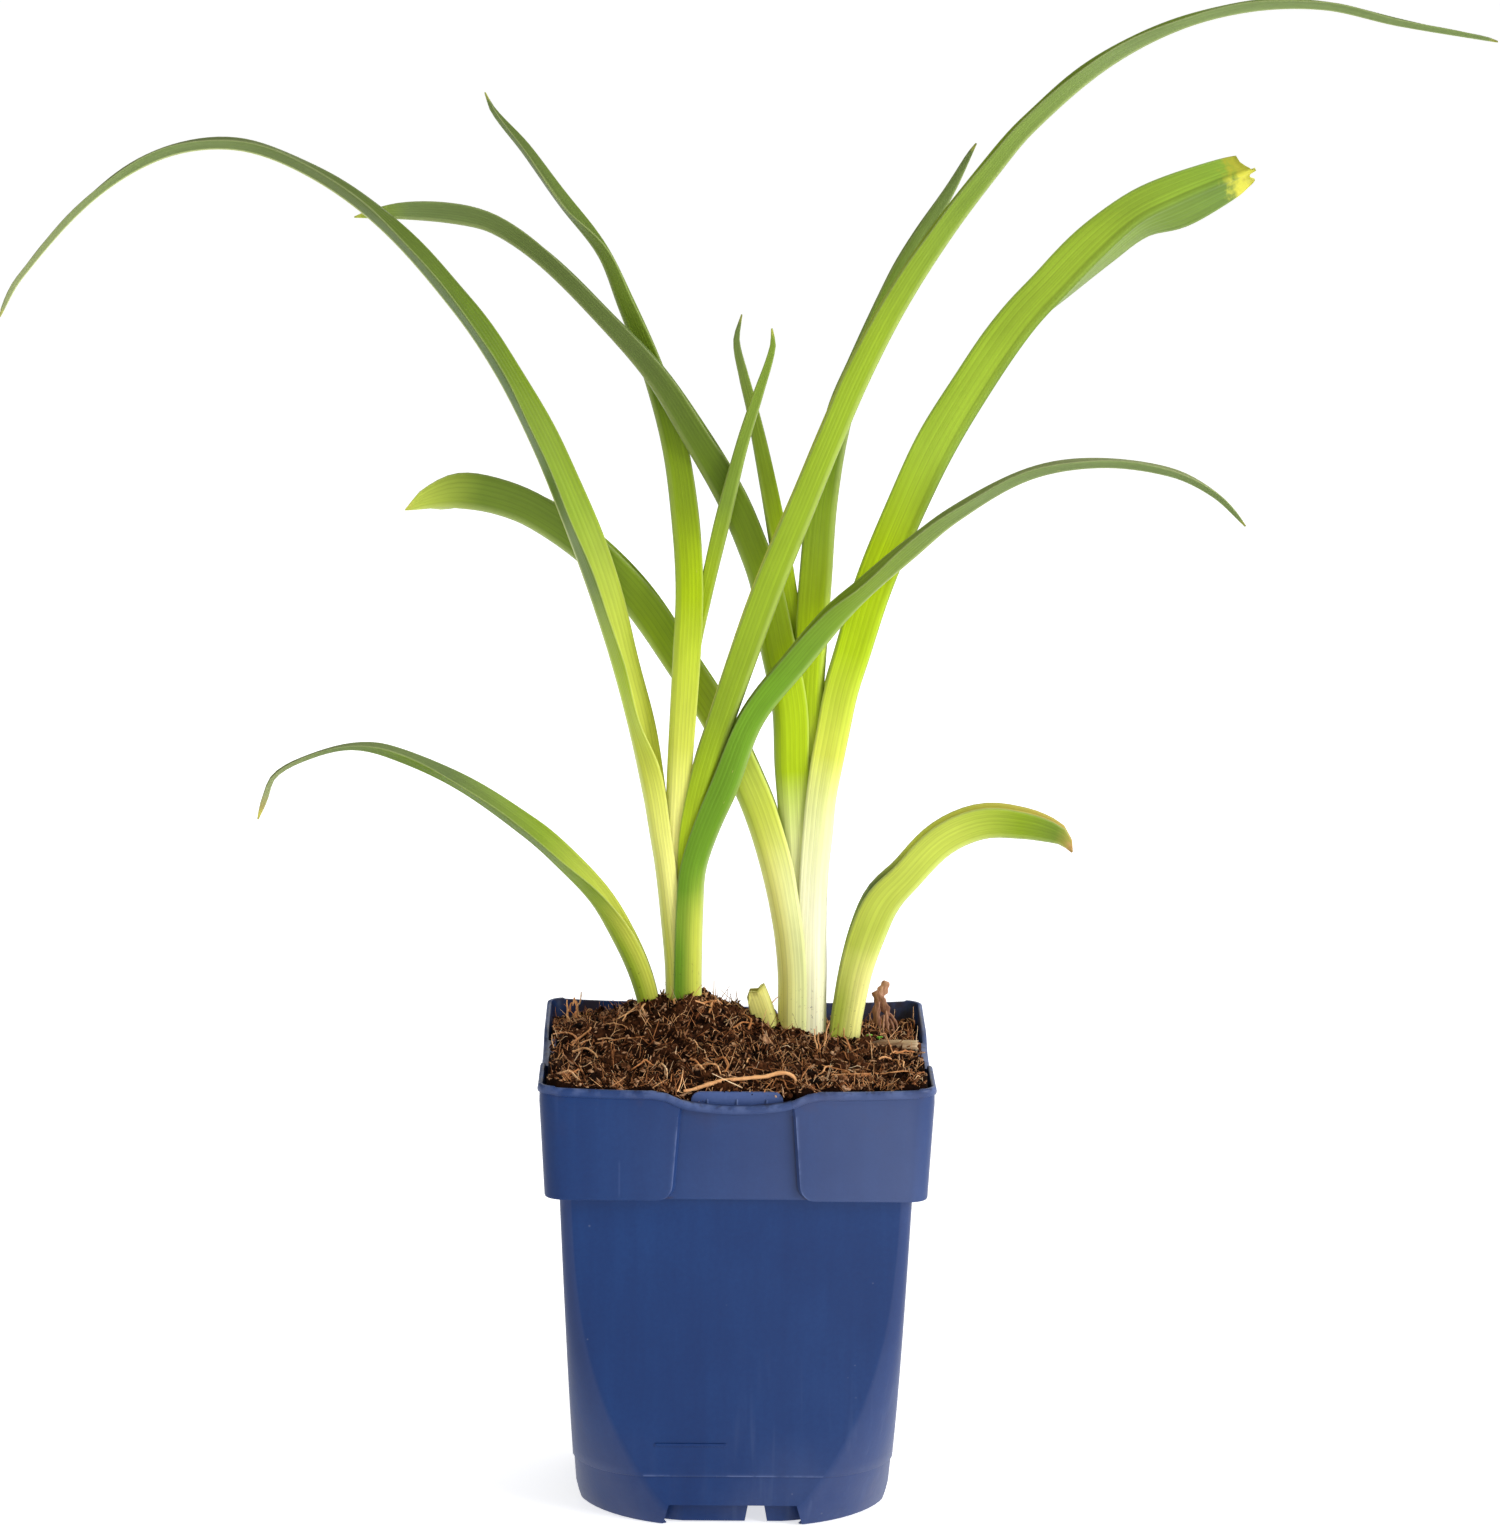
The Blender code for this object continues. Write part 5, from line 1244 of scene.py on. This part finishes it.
def makeCrust(finish):
    inset, count = soil["inset"], soil["columns"]
    rings = []
    for z, half, corner in (
        (inset, pot["footHalf"] - inset - 0.6, pot["footCorner"] - inset - 0.6),
        (8.05, pot["footHalf"] - inset, pot["footCorner"] - inset),
        (8.05, bodyHalf(8) - inset, bodyCorner(8) - inset),
    ):
        rings.append(potRing(z, half, corner))
    for z in (30.0, 55.0, 80.0, pot["collarBottom"] + inset):
        rings.append(potRing(z, bodyHalf(z) - inset, bodyCorner(z) - inset))
    for z in (pot["collarBottom"] + inset, 112.0, 118.0):
        rings.append(potRing(z, collarHalf(z) - inset, pot["collarCorner"] - inset, soil["recess"]))
    points = [evenRing(ring, count) for ring in rings]
    edge = points[-1]
    for share in np.linspace(1.0, 0.012, soil["rings"]):
        x, y = edge[:, 0] * share, edge[:, 1] * share
        points.append(np.stack([x, y, soilTop(x, y)], axis=1))
    total = len(points)
    faces = closedBand(total, count)
    faces.append(tuple(reversed(range(count))))
    faces.append(tuple((total - 1) * count + i for i in range(count)))
    points = np.concatenate(points)
    # painted shade: the crust is darker in its hollows and towards the pot wall, lighter on its
    # bumps
    deep = np.clip((plainTop(points[:, 0], points[:, 1]) - points[:, 2]) / 2.4 + 0.5, 0, 1)
    edge = np.clip((52.6 - np.abs(points[:, :2]).max(axis=1)) / 2.5, 0.1, 1.0)
    mesh = meshWith("soilCrust", points, faces, {"tint": (0.28 - 0.28 * deep) * edge})
    addPiece("soilCrust", mesh, finish, ["potting_mix"])
    print("crust done:", len(faces), "faces")


def insidePot(x, y):
    # pulls places back inside the rounded corners
    beyondX, beyondY = np.maximum(np.abs(x) - 48.4, 0), np.maximum(np.abs(y) - 48.4, 0)
    pull = np.minimum(1.0, 4.0 / np.maximum(np.hypot(beyondX, beyondY), 1e-6))
    x = np.where(beyondX > 0, np.sign(x) * (48.4 + beyondX * pull), x)
    y = np.where(beyondY > 0, np.sign(y) * (48.4 + beyondY * pull), y)
    return x, y


def scattered(rng, count, reach=52.3):
    # evenly, and a sixth of them once more along the front edge
    x, y = rng.uniform(-reach, reach, count), rng.uniform(-reach, reach, count)
    y = np.where(
        (rng.random(count) < 0.16) & (np.abs(x) > 16), rng.uniform(-reach, 3 - reach, count), y,
    )
    return insidePot(x, y)


def roundBase(levels):
    bm = bmesh.new()
    bmesh.ops.create_icosphere(bm, subdivisions=levels, radius=1.0)
    points = np.array([vert.co[:] for vert in bm.verts])
    faces = np.array([[vert.index for vert in face.verts] for face in bm.faces])
    bm.free()
    return points, faces


def turns(rng, count):
    # random rotation matrices
    q = rng.normal(size=(count, 4))
    w, x, y, z = (q / np.linalg.norm(q, axis=1, keepdims=True)).T
    return np.stack([
        1 - 2 * (y * y + z * z), 2 * (x * y - z * w), 2 * (x * z + y * w),
        2 * (x * y + z * w), 1 - 2 * (x * x + z * z), 2 * (y * z - x * w),
        2 * (x * z - y * w), 2 * (y * z + x * w), 1 - 2 * (x * x + y * y),
    ], axis=1).reshape(-1, 3, 3)


def makeCrumbs(name, finish, count, levels, sizes, slim, sunk, power, seed):
    rng = np.random.default_rng(seed)
    base, faces = roundBase(levels)
    x, y = scattered(rng, count)
    radius = sizes[0] + (sizes[1] - sizes[0]) * rng.random(count) ** 2
    shape = rng.uniform(0.5, 1.0, (count, 1, 3)) * slim * radius[:, None, None]
    rough = 1 + rng.uniform(-0.26, 0.26, (count, len(base), 1))
    points = np.einsum("nij,nkj->nki", turns(rng, count), base[None] * rough * shape)
    z = soilTop(x, y) + radius * sunk
    points += np.stack([x, y, z], axis=1)[:, None, :]
    faces = faces[None] + (np.arange(count) * len(base))[:, None, None]
    tint = np.repeat(rng.random(count) ** power, len(base))
    mesh = meshFrom(name, points.reshape(-1, 3), faces.reshape(-1, 3), {"tint": tint})
    addPiece(name, mesh, finish, [], False)
    print(name, "done:", count)


def strandMesh(paths, radii, sides=4):
    # paths (count, steps, 3) and radii (count, steps) to closed tapered tubes
    count, steps, _ = paths.shape
    along = np.gradient(paths, axis=1)
    along /= np.maximum(np.linalg.norm(along, axis=2, keepdims=True), 1e-9)
    helper = np.where(np.abs(along[..., 2:]) < 0.9, [[[0.0, 0.0, 1.0]]], [[[1.0, 0.0, 0.0]]])
    first = np.cross(along, helper)
    first /= np.maximum(np.linalg.norm(first, axis=2, keepdims=True), 1e-9)
    second = np.cross(along, first)
    turn = np.arange(sides) * 2 * np.pi / sides
    ring = first[:, :, None] * np.cos(turn)[:, None] + second[:, :, None] * np.sin(turn)[:, None]
    points = paths[:, :, None, :] + ring * radii[:, :, None, None]
    quads = []
    for i in range(steps - 1):
        for j in range(sides):
            k = (j + 1) % sides
            quads.append((i * sides + j, (i + 1) * sides + j, (i + 1) * sides + k, i * sides + k))
    last = (steps - 1) * sides
    quads.append(tuple(range(4)))
    quads.append(tuple(last + 3 - j for j in range(4)))
    faces = np.array(quads)[None] + (np.arange(count) * steps * sides)[:, None, None]
    return points.reshape(-1, 3), faces.reshape(-1, 4)


def strewn(rng, count, lengths, lift, steps, upright):
    # wandering paths over the crust; a share of them stands up at one end
    x, y = scattered(rng, count)
    heading = rng.uniform(0, 2 * np.pi, count)
    length = lengths[0] + (lengths[1] - lengths[0]) * rng.random(count) ** 2
    bend = rng.normal(0, 0.1, (count, steps)).cumsum(axis=1)
    bend = bend + rng.normal(0, 0.05, (count, 1)) * np.arange(steps)
    angle = heading[:, None] + bend
    standing = (rng.random((count, 1)) < upright) * rng.uniform(0.45, 1.3, (count, 1))
    stride = (length / (steps - 1))[:, None]
    px = x[:, None] + (np.cos(angle) * np.cos(standing) * stride).cumsum(axis=1)
    py = y[:, None] + (np.sin(angle) * np.cos(standing) * stride).cumsum(axis=1)
    px, py = insidePot(np.clip(px, -52.2, 52.2), np.clip(py, -52.2, 52.2))
    share = np.linspace(0, 1, steps)[None]
    arch = np.sin(share * np.pi) * rng.uniform(0, lift, (count, 1))
    rise = np.minimum(share * length[:, None] * np.sin(standing), 7.5)
    flat = soilTop(px, py) + 0.12 + arch
    return np.stack([px, py, np.where(standing > 0, plainTop(x, y)[:, None] + rise, flat)], axis=2)


def makeStrands(name, finish, count, lengths, radii, lift, steps, seed, tints, upright):
    rng = np.random.default_rng(seed)
    paths = strewn(rng, count, lengths, lift, steps, upright)
    thick = radii[0] + (radii[1] - radii[0]) * rng.random((count, 1)) ** 2
    taper = np.linspace(1.0, 0.45, steps)[None] * rng.uniform(0.85, 1.15, (count, steps))
    points, faces = strandMesh(paths, thick * taper)
    tint = np.repeat(tints[0] + (tints[1] - tints[0]) * rng.random(count) ** 1.1, steps * 4)
    addPiece(name, meshFrom(name, points, faces, {"tint": tint}), finish, [])
    print(name, "done:", count)


def peatFinish():
    finish = Finish("peat")
    place = finish.place()
    clod = finish.grain(place, 190.0, 5.0, 0.65)
    grit = finish.grain(place, 1100.0, 3.0, 0.6)
    tone = finish.measure("tint") * 0.8 + clod * 0.5 + grit * 0.4 - 0.36
    colour = finish.ramp(tone, [
        (0.02, screenTone(12, 4, 2)), (0.2, screenTone(34, 15, 6)), (0.42, screenTone(82, 46, 24)),
        (0.68, screenTone(144, 97, 64)), (0.95, screenTone(214, 170, 132)),
    ])
    relief = finish.bump(grit + clod * 2.0, 0.0005, 0.9)
    finish.wear(BaseColor=colour, Roughness=0.85, Normal=relief, SpecularIORLevel=0.06)
    return finish


def hairFinish():
    finish = Finish("rootHair")
    place = finish.place()
    tint = finish.measure("tint")
    mottle = finish.grain(place, 420.0, 3.0)
    colour = finish.ramp(tint * 0.85 + mottle * 0.35 - 0.1, [
        (0.05, screenTone(46, 22, 11)), (0.3, screenTone(118, 66, 34)), (
            0.55, screenTone(202, 134, 82),
        ),
        (0.78, screenTone(248, 188, 130)), (1.0, screenTone(255, 232, 192)),
    ])
    relief = finish.bump(mottle, 0.0002, 0.6)
    finish.wear(BaseColor=colour, Roughness=0.65, Normal=relief, SpecularIORLevel=0.15)
    return finish


peat = peatFinish()
rootHair = hairFinish()
makeCrust(peat)
makeCrumbs("soilGrains", peat, soil["grains"], 1, (0.3, 0.95), (1.0, 0.7, 0.55), 0.25, 1.8, 21)
makeCrumbs("soilBits", peat, soil["bits"], 1, (0.7, 2.2), (1.0, 0.2, 0.16), 0.2, 0.9, 23)
makeCrumbs("soilLumps", peat, soil["lumps"], 2, (0.9, 2.2), (1.0, 0.75, 0.6), 0.1, 2.6, 22)
makeStrands(
    "rootHairs", rootHair, soil["hairs"], (1.5, 7.0), (0.07, 0.15), 0.6, 6, 31, (0.1, 1.0), 0.35,
)
makeStrands(
    "rootTufts", rootHair, soil["tufts"], (1.5, 5.5), (0.07, 0.17), 0.3, 4, 33, (0.2, 1.0), 0.8,
)
makeStrands(
    "soilRoots", rootHair, soil["roots"], (5.0, 15.0), (0.14, 0.26), 1.0, 14, 32, (0.25, 1.0), 0.2,
)


# small things on and in the mix; the root's route is x, y, lift off the mix, radius
small = {
    "crowns": (("crownLeft", "crown_left", (-28.6, -9.4), 6.0, 13.4, 131.0, 15.0),
               ("crownRight", "crown_right", (3.4, 36.4), 9.8, 13.4, 120.6, 17.0)),
    "rootRoute": (
        (-14.9, -50.2, 0.4, 0.39), (-12.8, -49.6, 0.6, 0.47),
        (-10.6, -48.9, 0.7, 0.53), (-8.0, -48.2, 1.0, 0.60),
        (-4.0, -47.4, 1.5, 0.52), (0.4, -47.0, 1.7, 0.52),
        (4.5, -46.7, 2.0, 0.57), (8.0, -46.4, 2.2, 0.55),
        (11.6, -46.0, 3.0, 0.60), (14.2, -46.2, 2.9, 0.53),
        (16.0, -46.6, 1.6, 0.45), (16.3, -47.4, 0.0, 0.43),
        (16.3, -48.0, -1.2, 0.36),
    ),  # and radius
    "chip": {"size": (14.2, 3.8, 2.6), "place": (44.4, -3.0, 129.6), "turn": -3.0},
    "rootZones": (  # middle, spread, roots, way they run in degrees, length, lift, free ends
        ((-42, -12), (7, 8), 9, 20, 17, 1.2, False),
        ((-46, 17), (4, 5), 6, 80, 3, 8.0, True),
        ((-48, -42), (3, 4), 4, -60, 10, 1.8, False),
        ((-15, -34), (8, 7), 6, -80, 13, 2.6, False),
        ((-12, -4), (14, 7), 7, 70, 15, 1.8, False),
        ((24, -38), (9, 8), 8, -35, 17, 1.0, False),
        ((42, -26), (6, 10), 7, -45, 14, 1.1, False),
        ((22, -12), (6, 6), 4, 60, 4, 6.0, True),
    ),
    "rootSteps": 6,
    "rootBounds": (52.0, 49.5),
    "scrap": (  # half width, half thickness, tint, then x, y, z
        (
            1.5, 0.35, 0.7,
            (
                (43.3, 16.0, 143.9), (42.6, 16.0, 142.0), (41.6, 15.5, 140.0), (41.3, 15.0, 138.4),
                (41.8, 14.6, 136.8),
            ),
        ),
        (
            1.7, 0.4, 0.45,
            (
                (39.8, 14.5, 141.2), (40.7, 14.6, 139.8), (41.4, 14.8, 138.4), (42.6, 15.0, 136.6),
                (43.6, 15.4, 134.6), (44.6, 15.8, 132.4),
            ),
        ),
        (
            1.2, 0.45, 0.3,
            (
                (40.9, 14.4, 138.4), (40.4, 14.0, 136.0), (40.6, 13.6, 133.4), (41.4, 13.2, 131.2),
                (42.2, 13.0, 129.4),
            ),
        ),
        (
            0.55, 0.3, 0.5,
            ((43.2, 14.4, 135.6), (43.4, 14.0, 133.0), (43.8, 13.6, 130.6), (44.6, 13.2, 128.2)),
        ),
        (
            0.5, 0.3, 0.35,
            ((43.8, 15.4, 135.0), (45.2, 15.8, 133.2), (46.4, 15.6, 131.0), (46.8, 15.0, 128.6)),
        ),
        (0.35, 0.25, 0.6, ((42.6, 13.6, 134.6), (42.4, 13.0, 131.0), (42.6, 12.6, 127.6))),
        (0.35, 0.25, 0.45, ((44.4, 15.6, 133.0), (45.4, 15.0, 130.4), (45.6, 14.4, 127.6))),
    ),
    "sprouts": ((38.0, 2.6, 131.0, 0.75), (41.0, 2.0, 130.6, 0.7)),
}


def makeCrowns(finish):
    for name, node, (left, right), middle, depth, top, height in small["crowns"]:
        base, faces = roundBase(5)
        size = np.array([(right - left) / 2, depth / 2, height / 2])
        square = np.sign(base) * np.abs(base) ** 0.45
        ridges = 1 - 0.05 * (
            1 + np.sin(base[:, 0] * 9 + base[:, 1] * 5)
        ) - 0.04 * (1 + np.sin(base[:, 2] * 14))
        points = square * size * ridges[:, None] + [(left + right) / 2, middle, top - height / 2]
        addPiece(name, meshFrom(name, points, faces), finish, [node])


def tubeMesh(path, wide, thick, sides, helper):
    # a closed tube; wide lies across the helper direction, thick along it
    along = np.gradient(path, axis=0)
    along /= np.linalg.norm(along, axis=1, keepdims=True)
    first = np.cross(along, helper)
    first /= np.maximum(np.linalg.norm(first, axis=1, keepdims=True), 1e-6)
    second = np.cross(along, first)
    turn = np.arange(sides) * 2 * np.pi / sides
    ring = first[:, None] * (np.cos(turn) * wide[:, None])[..., None]
    ring = ring + second[:, None] * (np.sin(turn) * thick[:, None])[..., None]
    points = (path[:, None] + ring).reshape(-1, 3)
    steps = len(path)
    faces = [face[::-1] for face in closedBand(steps, sides)]
    faces.append(tuple(range(sides)))
    faces.append(tuple((steps - 1) * sides + j for j in reversed(range(sides))))
    return points, faces


def joined(parts):
    # several point and face lists in one
    points, faces, tints, start = [], [], [], 0
    for part, rows, tint in parts:
        points.append(part)
        faces += [tuple(start + k for k in row) for row in rows]
        tints.append(np.full(len(part), tint))
        start += len(part)
    return np.concatenate(points), faces, np.concatenate(tints)


def smoothPath(rows, steps):
    _, blended = blendRows(rows, steps)
    return blended


def onMix(rows):
    # lifts become heights above the mix
    return [(x, y, float(plainTop(x, y)) + lift, *rest) for x, y, lift, *rest in rows]


def makeSurfaceRoot(finish):
    blended = smoothPath(onMix(small["rootRoute"]), 150)
    rng = np.random.default_rng(41)
    knots = 1 + 0.16 * np.sin(np.arange(150) * 0.45) * rng.random(150)
    radii = blended[:, 3] * knots
    points, faces = tubeMesh(blended[:, :3], radii, radii, 10, [0.0, 0.0, 1.0])
    mesh = meshWith("surfaceRoot", points, faces, {"tint": np.full(len(points), 0.76)})
    addPiece("surfaceRoot", mesh, finish, ["surface_root"])


def wanderingRoot(rng, zone):
    # one root from its zone: it turns a little at each step and arches, or lifts its free end
    (x, y), (wide, deep), _, way, length, lift, free = zone
    x, y = x + rng.normal(0, wide * 0.6), y + rng.normal(0, deep * 0.6)
    heading = math.radians(way + rng.normal(0, 35))
    reach = length * rng.uniform(0.6, 1.3) / small["rootSteps"]
    limitX, limitY = small["rootBounds"]
    rows = []
    for share in np.linspace(0, 1, small["rootSteps"]):
        rise = share if free else math.sin(math.pi * share)
        rows.append((x, y, 0.2 + lift * rise * rng.uniform(0.6, 1.1)))
        heading += rng.normal(0, 0.35)
        x = min(max(x + math.cos(heading) * reach, -limitX), limitX)
        y = min(max(y + math.sin(heading) * reach, -limitY), limitY)
    return rows


def makePlacedRoots(finish):
    parts = []
    zones = [zone for zone in small["rootZones"] for _ in range(zone[2])]
    for number, zone in enumerate(zones):
        rng = np.random.default_rng(60 + number)
        rows = wanderingRoot(rng, zone)
        radius, tint = rng.uniform(0.22, 0.4), rng.uniform(0.5, 0.95)
        blended = smoothPath(onMix(rows), 10 * len(rows))
        share = np.linspace(0, 1, len(blended))
        wave = np.sin(share[:, None] * rng.uniform(5, 14, 3) + rng.uniform(0, 6, 3)) * 0.1
        radii = radius * (1 - 0.45 * share) * (1 + 0.15 * np.sin(share * 40 + number))
        parts.append((*tubeMesh(blended + wave, radii, radii, 6, [0.0, 0.35, 1.0]), tint))
    points, faces, tints = joined(parts)
    addPiece(
        "placedRoots", meshWith("placedRoots", points, faces, {"tint": tints}), finish, [],
    )


def makeScrap(finish):
    parts = []
    for number, (wide, thick, tint, rows) in enumerate(small["scrap"]):
        blended = smoothPath(rows, 26)
        share = np.linspace(0, 1, 26)
        ends = np.sin(np.clip(0.12 + share * 1.02, 0, 1) * np.pi) ** 0.6
        across = wide * ends * (1 + 0.14 * np.sin(share * 21 + number))
        parts.append(
            (*tubeMesh(blended, across, thick * np.maximum(ends, 0.4), 10, [0.25, 1.0, 0.2]), tint)
        )
    points, faces, tints = joined(parts)
    addPiece(
        "dryScrap", meshWith("dryScrap", points, faces, {"tint": tints}), finish,
        ["dry_leaf_scrap"],
    )


def makeChip(finish):
    chip = small["chip"]
    long, deep, tall = chip["size"]
    rng = np.random.default_rng(43)
    columns, sides = 30, 16
    share = np.linspace(0, 1, columns)
    taper = np.minimum(1.0, 0.3 + share * 2.4)  # thinner towards its left end
    path = np.stack([long * (share - 0.5), share * 0, share * 0], axis=1)
    points, faces = tubeMesh(path, taper * deep / 2, taper * tall / 2, sides, [0.0, 0.0, 1.0])
    rows = points.reshape(columns, sides, 3)
    rows[:, :, 1:] *= (
        1 + 0.16 * np.sin(np.arange(sides) * 2.4) + rng.uniform(-0.05, 0.05, (columns, sides))
    )[..., None]
    rows[-1, :, 0] += 0.6 * np.sin(np.arange(sides) * 1.9)  # splintered end
    turned = Matrix.Rotation(math.radians(chip["turn"]), 3, "Z")
    placed = rows.reshape(-1, 3) @ np.array(turned).T + chip["place"]
    mesh = meshWith("barkChip", placed, faces, {"share": np.repeat(share, sides)})
    addPiece("barkChip", mesh, finish, ["bark_chip"])


def makeSprouts(finish):
    # two tiny green seedlings beside the chip
    parts = []
    base, faces = roundBase(2)
    for x, y, z, size in small["sprouts"]:
        for turn in (0.4, 2.3, 4.1):
            leaf = base * [size * 0.75, size * 0.6, size * 0.3]
            leaf = leaf + [
                size * 0.7 * math.cos(turn), size * 0.5 * math.sin(turn), 0.2 * math.sin(turn * 2),
            ]
            parts.append((leaf + [x, y, z], faces.tolist(), 0.5))
        stem = np.array([(x, y, z - 3.0), (x, y, z - 1.0), (x, y, z)])
        parts.append((*tubeMesh(stem, np.full(3, 0.16), np.full(3, 0.16), 6, [0.0, 1.0, 0.0]), 0.5))
    points, rows, tints = joined(parts)
    addPiece(
        "sprouts", meshWith("sprouts", points, rows, {"tint": tints}), finish, [],
    )


def barkFinish():
    finish = Finish("bark")
    place = finish.place()
    stripes = finish.grain(finish.stretched(place, (0.12, 1.0, 1.0)), 1500.0, 4.0)
    tone = finish.measure("share") * 0.5 + stripes * 0.8 - 0.15
    colour = finish.ramp(tone, [
        (0.15, screenTone(66, 40, 24)), (0.42, screenTone(132, 96, 62)), (
            0.65, screenTone(184, 154, 116),
        ),
        (0.9, screenTone(222, 198, 160)),
    ])
    finish.wear(BaseColor=colour, Roughness=0.8, Normal=finish.bump(stripes, 0.0005, 0.8))
    return finish


def crownFinish():
    finish = Finish("crownFlesh")
    mottle = finish.grain(finish.place(), 260.0, 4.0)
    colour = finish.ramp(mottle, [(0.3, screenTone(88, 62, 40)), (0.6, screenTone(168, 146, 96))])
    finish.wear(BaseColor=colour, Roughness=0.7, Normal=finish.bump(mottle, 0.0006, 0.6))
    return finish


def scrapFinish():
    finish = Finish("dryLeaf")
    place = finish.place()
    stripes = finish.grain(finish.stretched(place, (1.0, 1.0, 0.25)), 1400.0, 4.0)
    colour = finish.ramp(finish.measure("tint") * 0.6 + stripes * 0.6 - 0.1, [
        (0.1, screenTone(66, 36, 22)), (0.35, screenTone(126, 80, 54)), (
            0.6, screenTone(182, 132, 100),
        ),
        (0.85, screenTone(222, 182, 150)),
    ])
    finish.wear(BaseColor=colour, Roughness=0.65, Normal=finish.bump(stripes, 0.0004, 0.8))
    return finish


def sproutFinish():
    finish = Finish("sproutGreen")
    mottle = finish.grain(finish.place(), 900.0, 2.0)
    colour = finish.ramp(mottle, [(0.3, screenTone(70, 140, 24)), (0.7, screenTone(128, 196, 52))])
    finish.wear(BaseColor=colour, Roughness=0.5)
    return finish


makeCrowns(crownFinish())
makeSurfaceRoot(rootHair)
makePlacedRoots(rootHair)
makeScrap(scrapFinish())
makeChip(barkFinish())
makeSprouts(sproutFinish())
print("small pieces done")


# the floor and the light
def makeFloor():
    size = studio["floorSize"]
    drop = -studio["floorDrop"] * mm
    mesh = bpy.data.meshes.new("studioFloor")
    corners = [(-size, -size, drop), (size, -size, drop), (size, size, drop), (-size, size, drop)]
    mesh.from_pydata(corners, [], [(0, 1, 2, 3)])
    tone = studio["floorTone"]
    finish = Finish("studioFloorPaint")
    finish.wear(
        BaseColor=(tone, tone, tone, 1.0), Roughness=studio["floorRoughness"],
        SpecularIORLevel=studio["floorGloss"],
        EmissionColor=(1.0, 1.0, 1.0, 1.0), EmissionStrength=studio["floorGlow"],
    )
    mesh.materials.append(finish.material)
    floor = bpy.data.objects.new("studioFloor", mesh)
    bpy.context.scene.collection.objects.link(floor)


def makeLamp(name, place, size, power):
    data = bpy.data.lights.new(name, "AREA")
    data.shape = "RECTANGLE"
    data.size, data.size_y = size
    data.energy = power
    lamp = bpy.data.objects.new(name, data)
    bpy.context.scene.collection.objects.link(lamp)
    lamp.location = place
    aim = Vector(studio["lampTarget"]) - Vector(place)
    lamp.rotation_euler = aim.to_track_quat("-Z", "Y").to_euler()


def makeWorld():
    world = bpy.data.worlds.new("studioWorld")
    bpy.context.scene.world = world
    world.use_nodes = True
    sky = world.node_tree.nodes["Background"]
    sky.inputs["Color"].default_value = (1.0, 1.0, 1.0, 1.0)
    sky.inputs["Strength"].default_value = studio["skyStrength"]


makeFloor()
makeWorld()
for lampName, (place, size, power) in studio["lamps"].items():
    makeLamp(lampName, place, size, power)
bpy.context.scene.view_settings.view_transform = "Standard"
print("studio done")
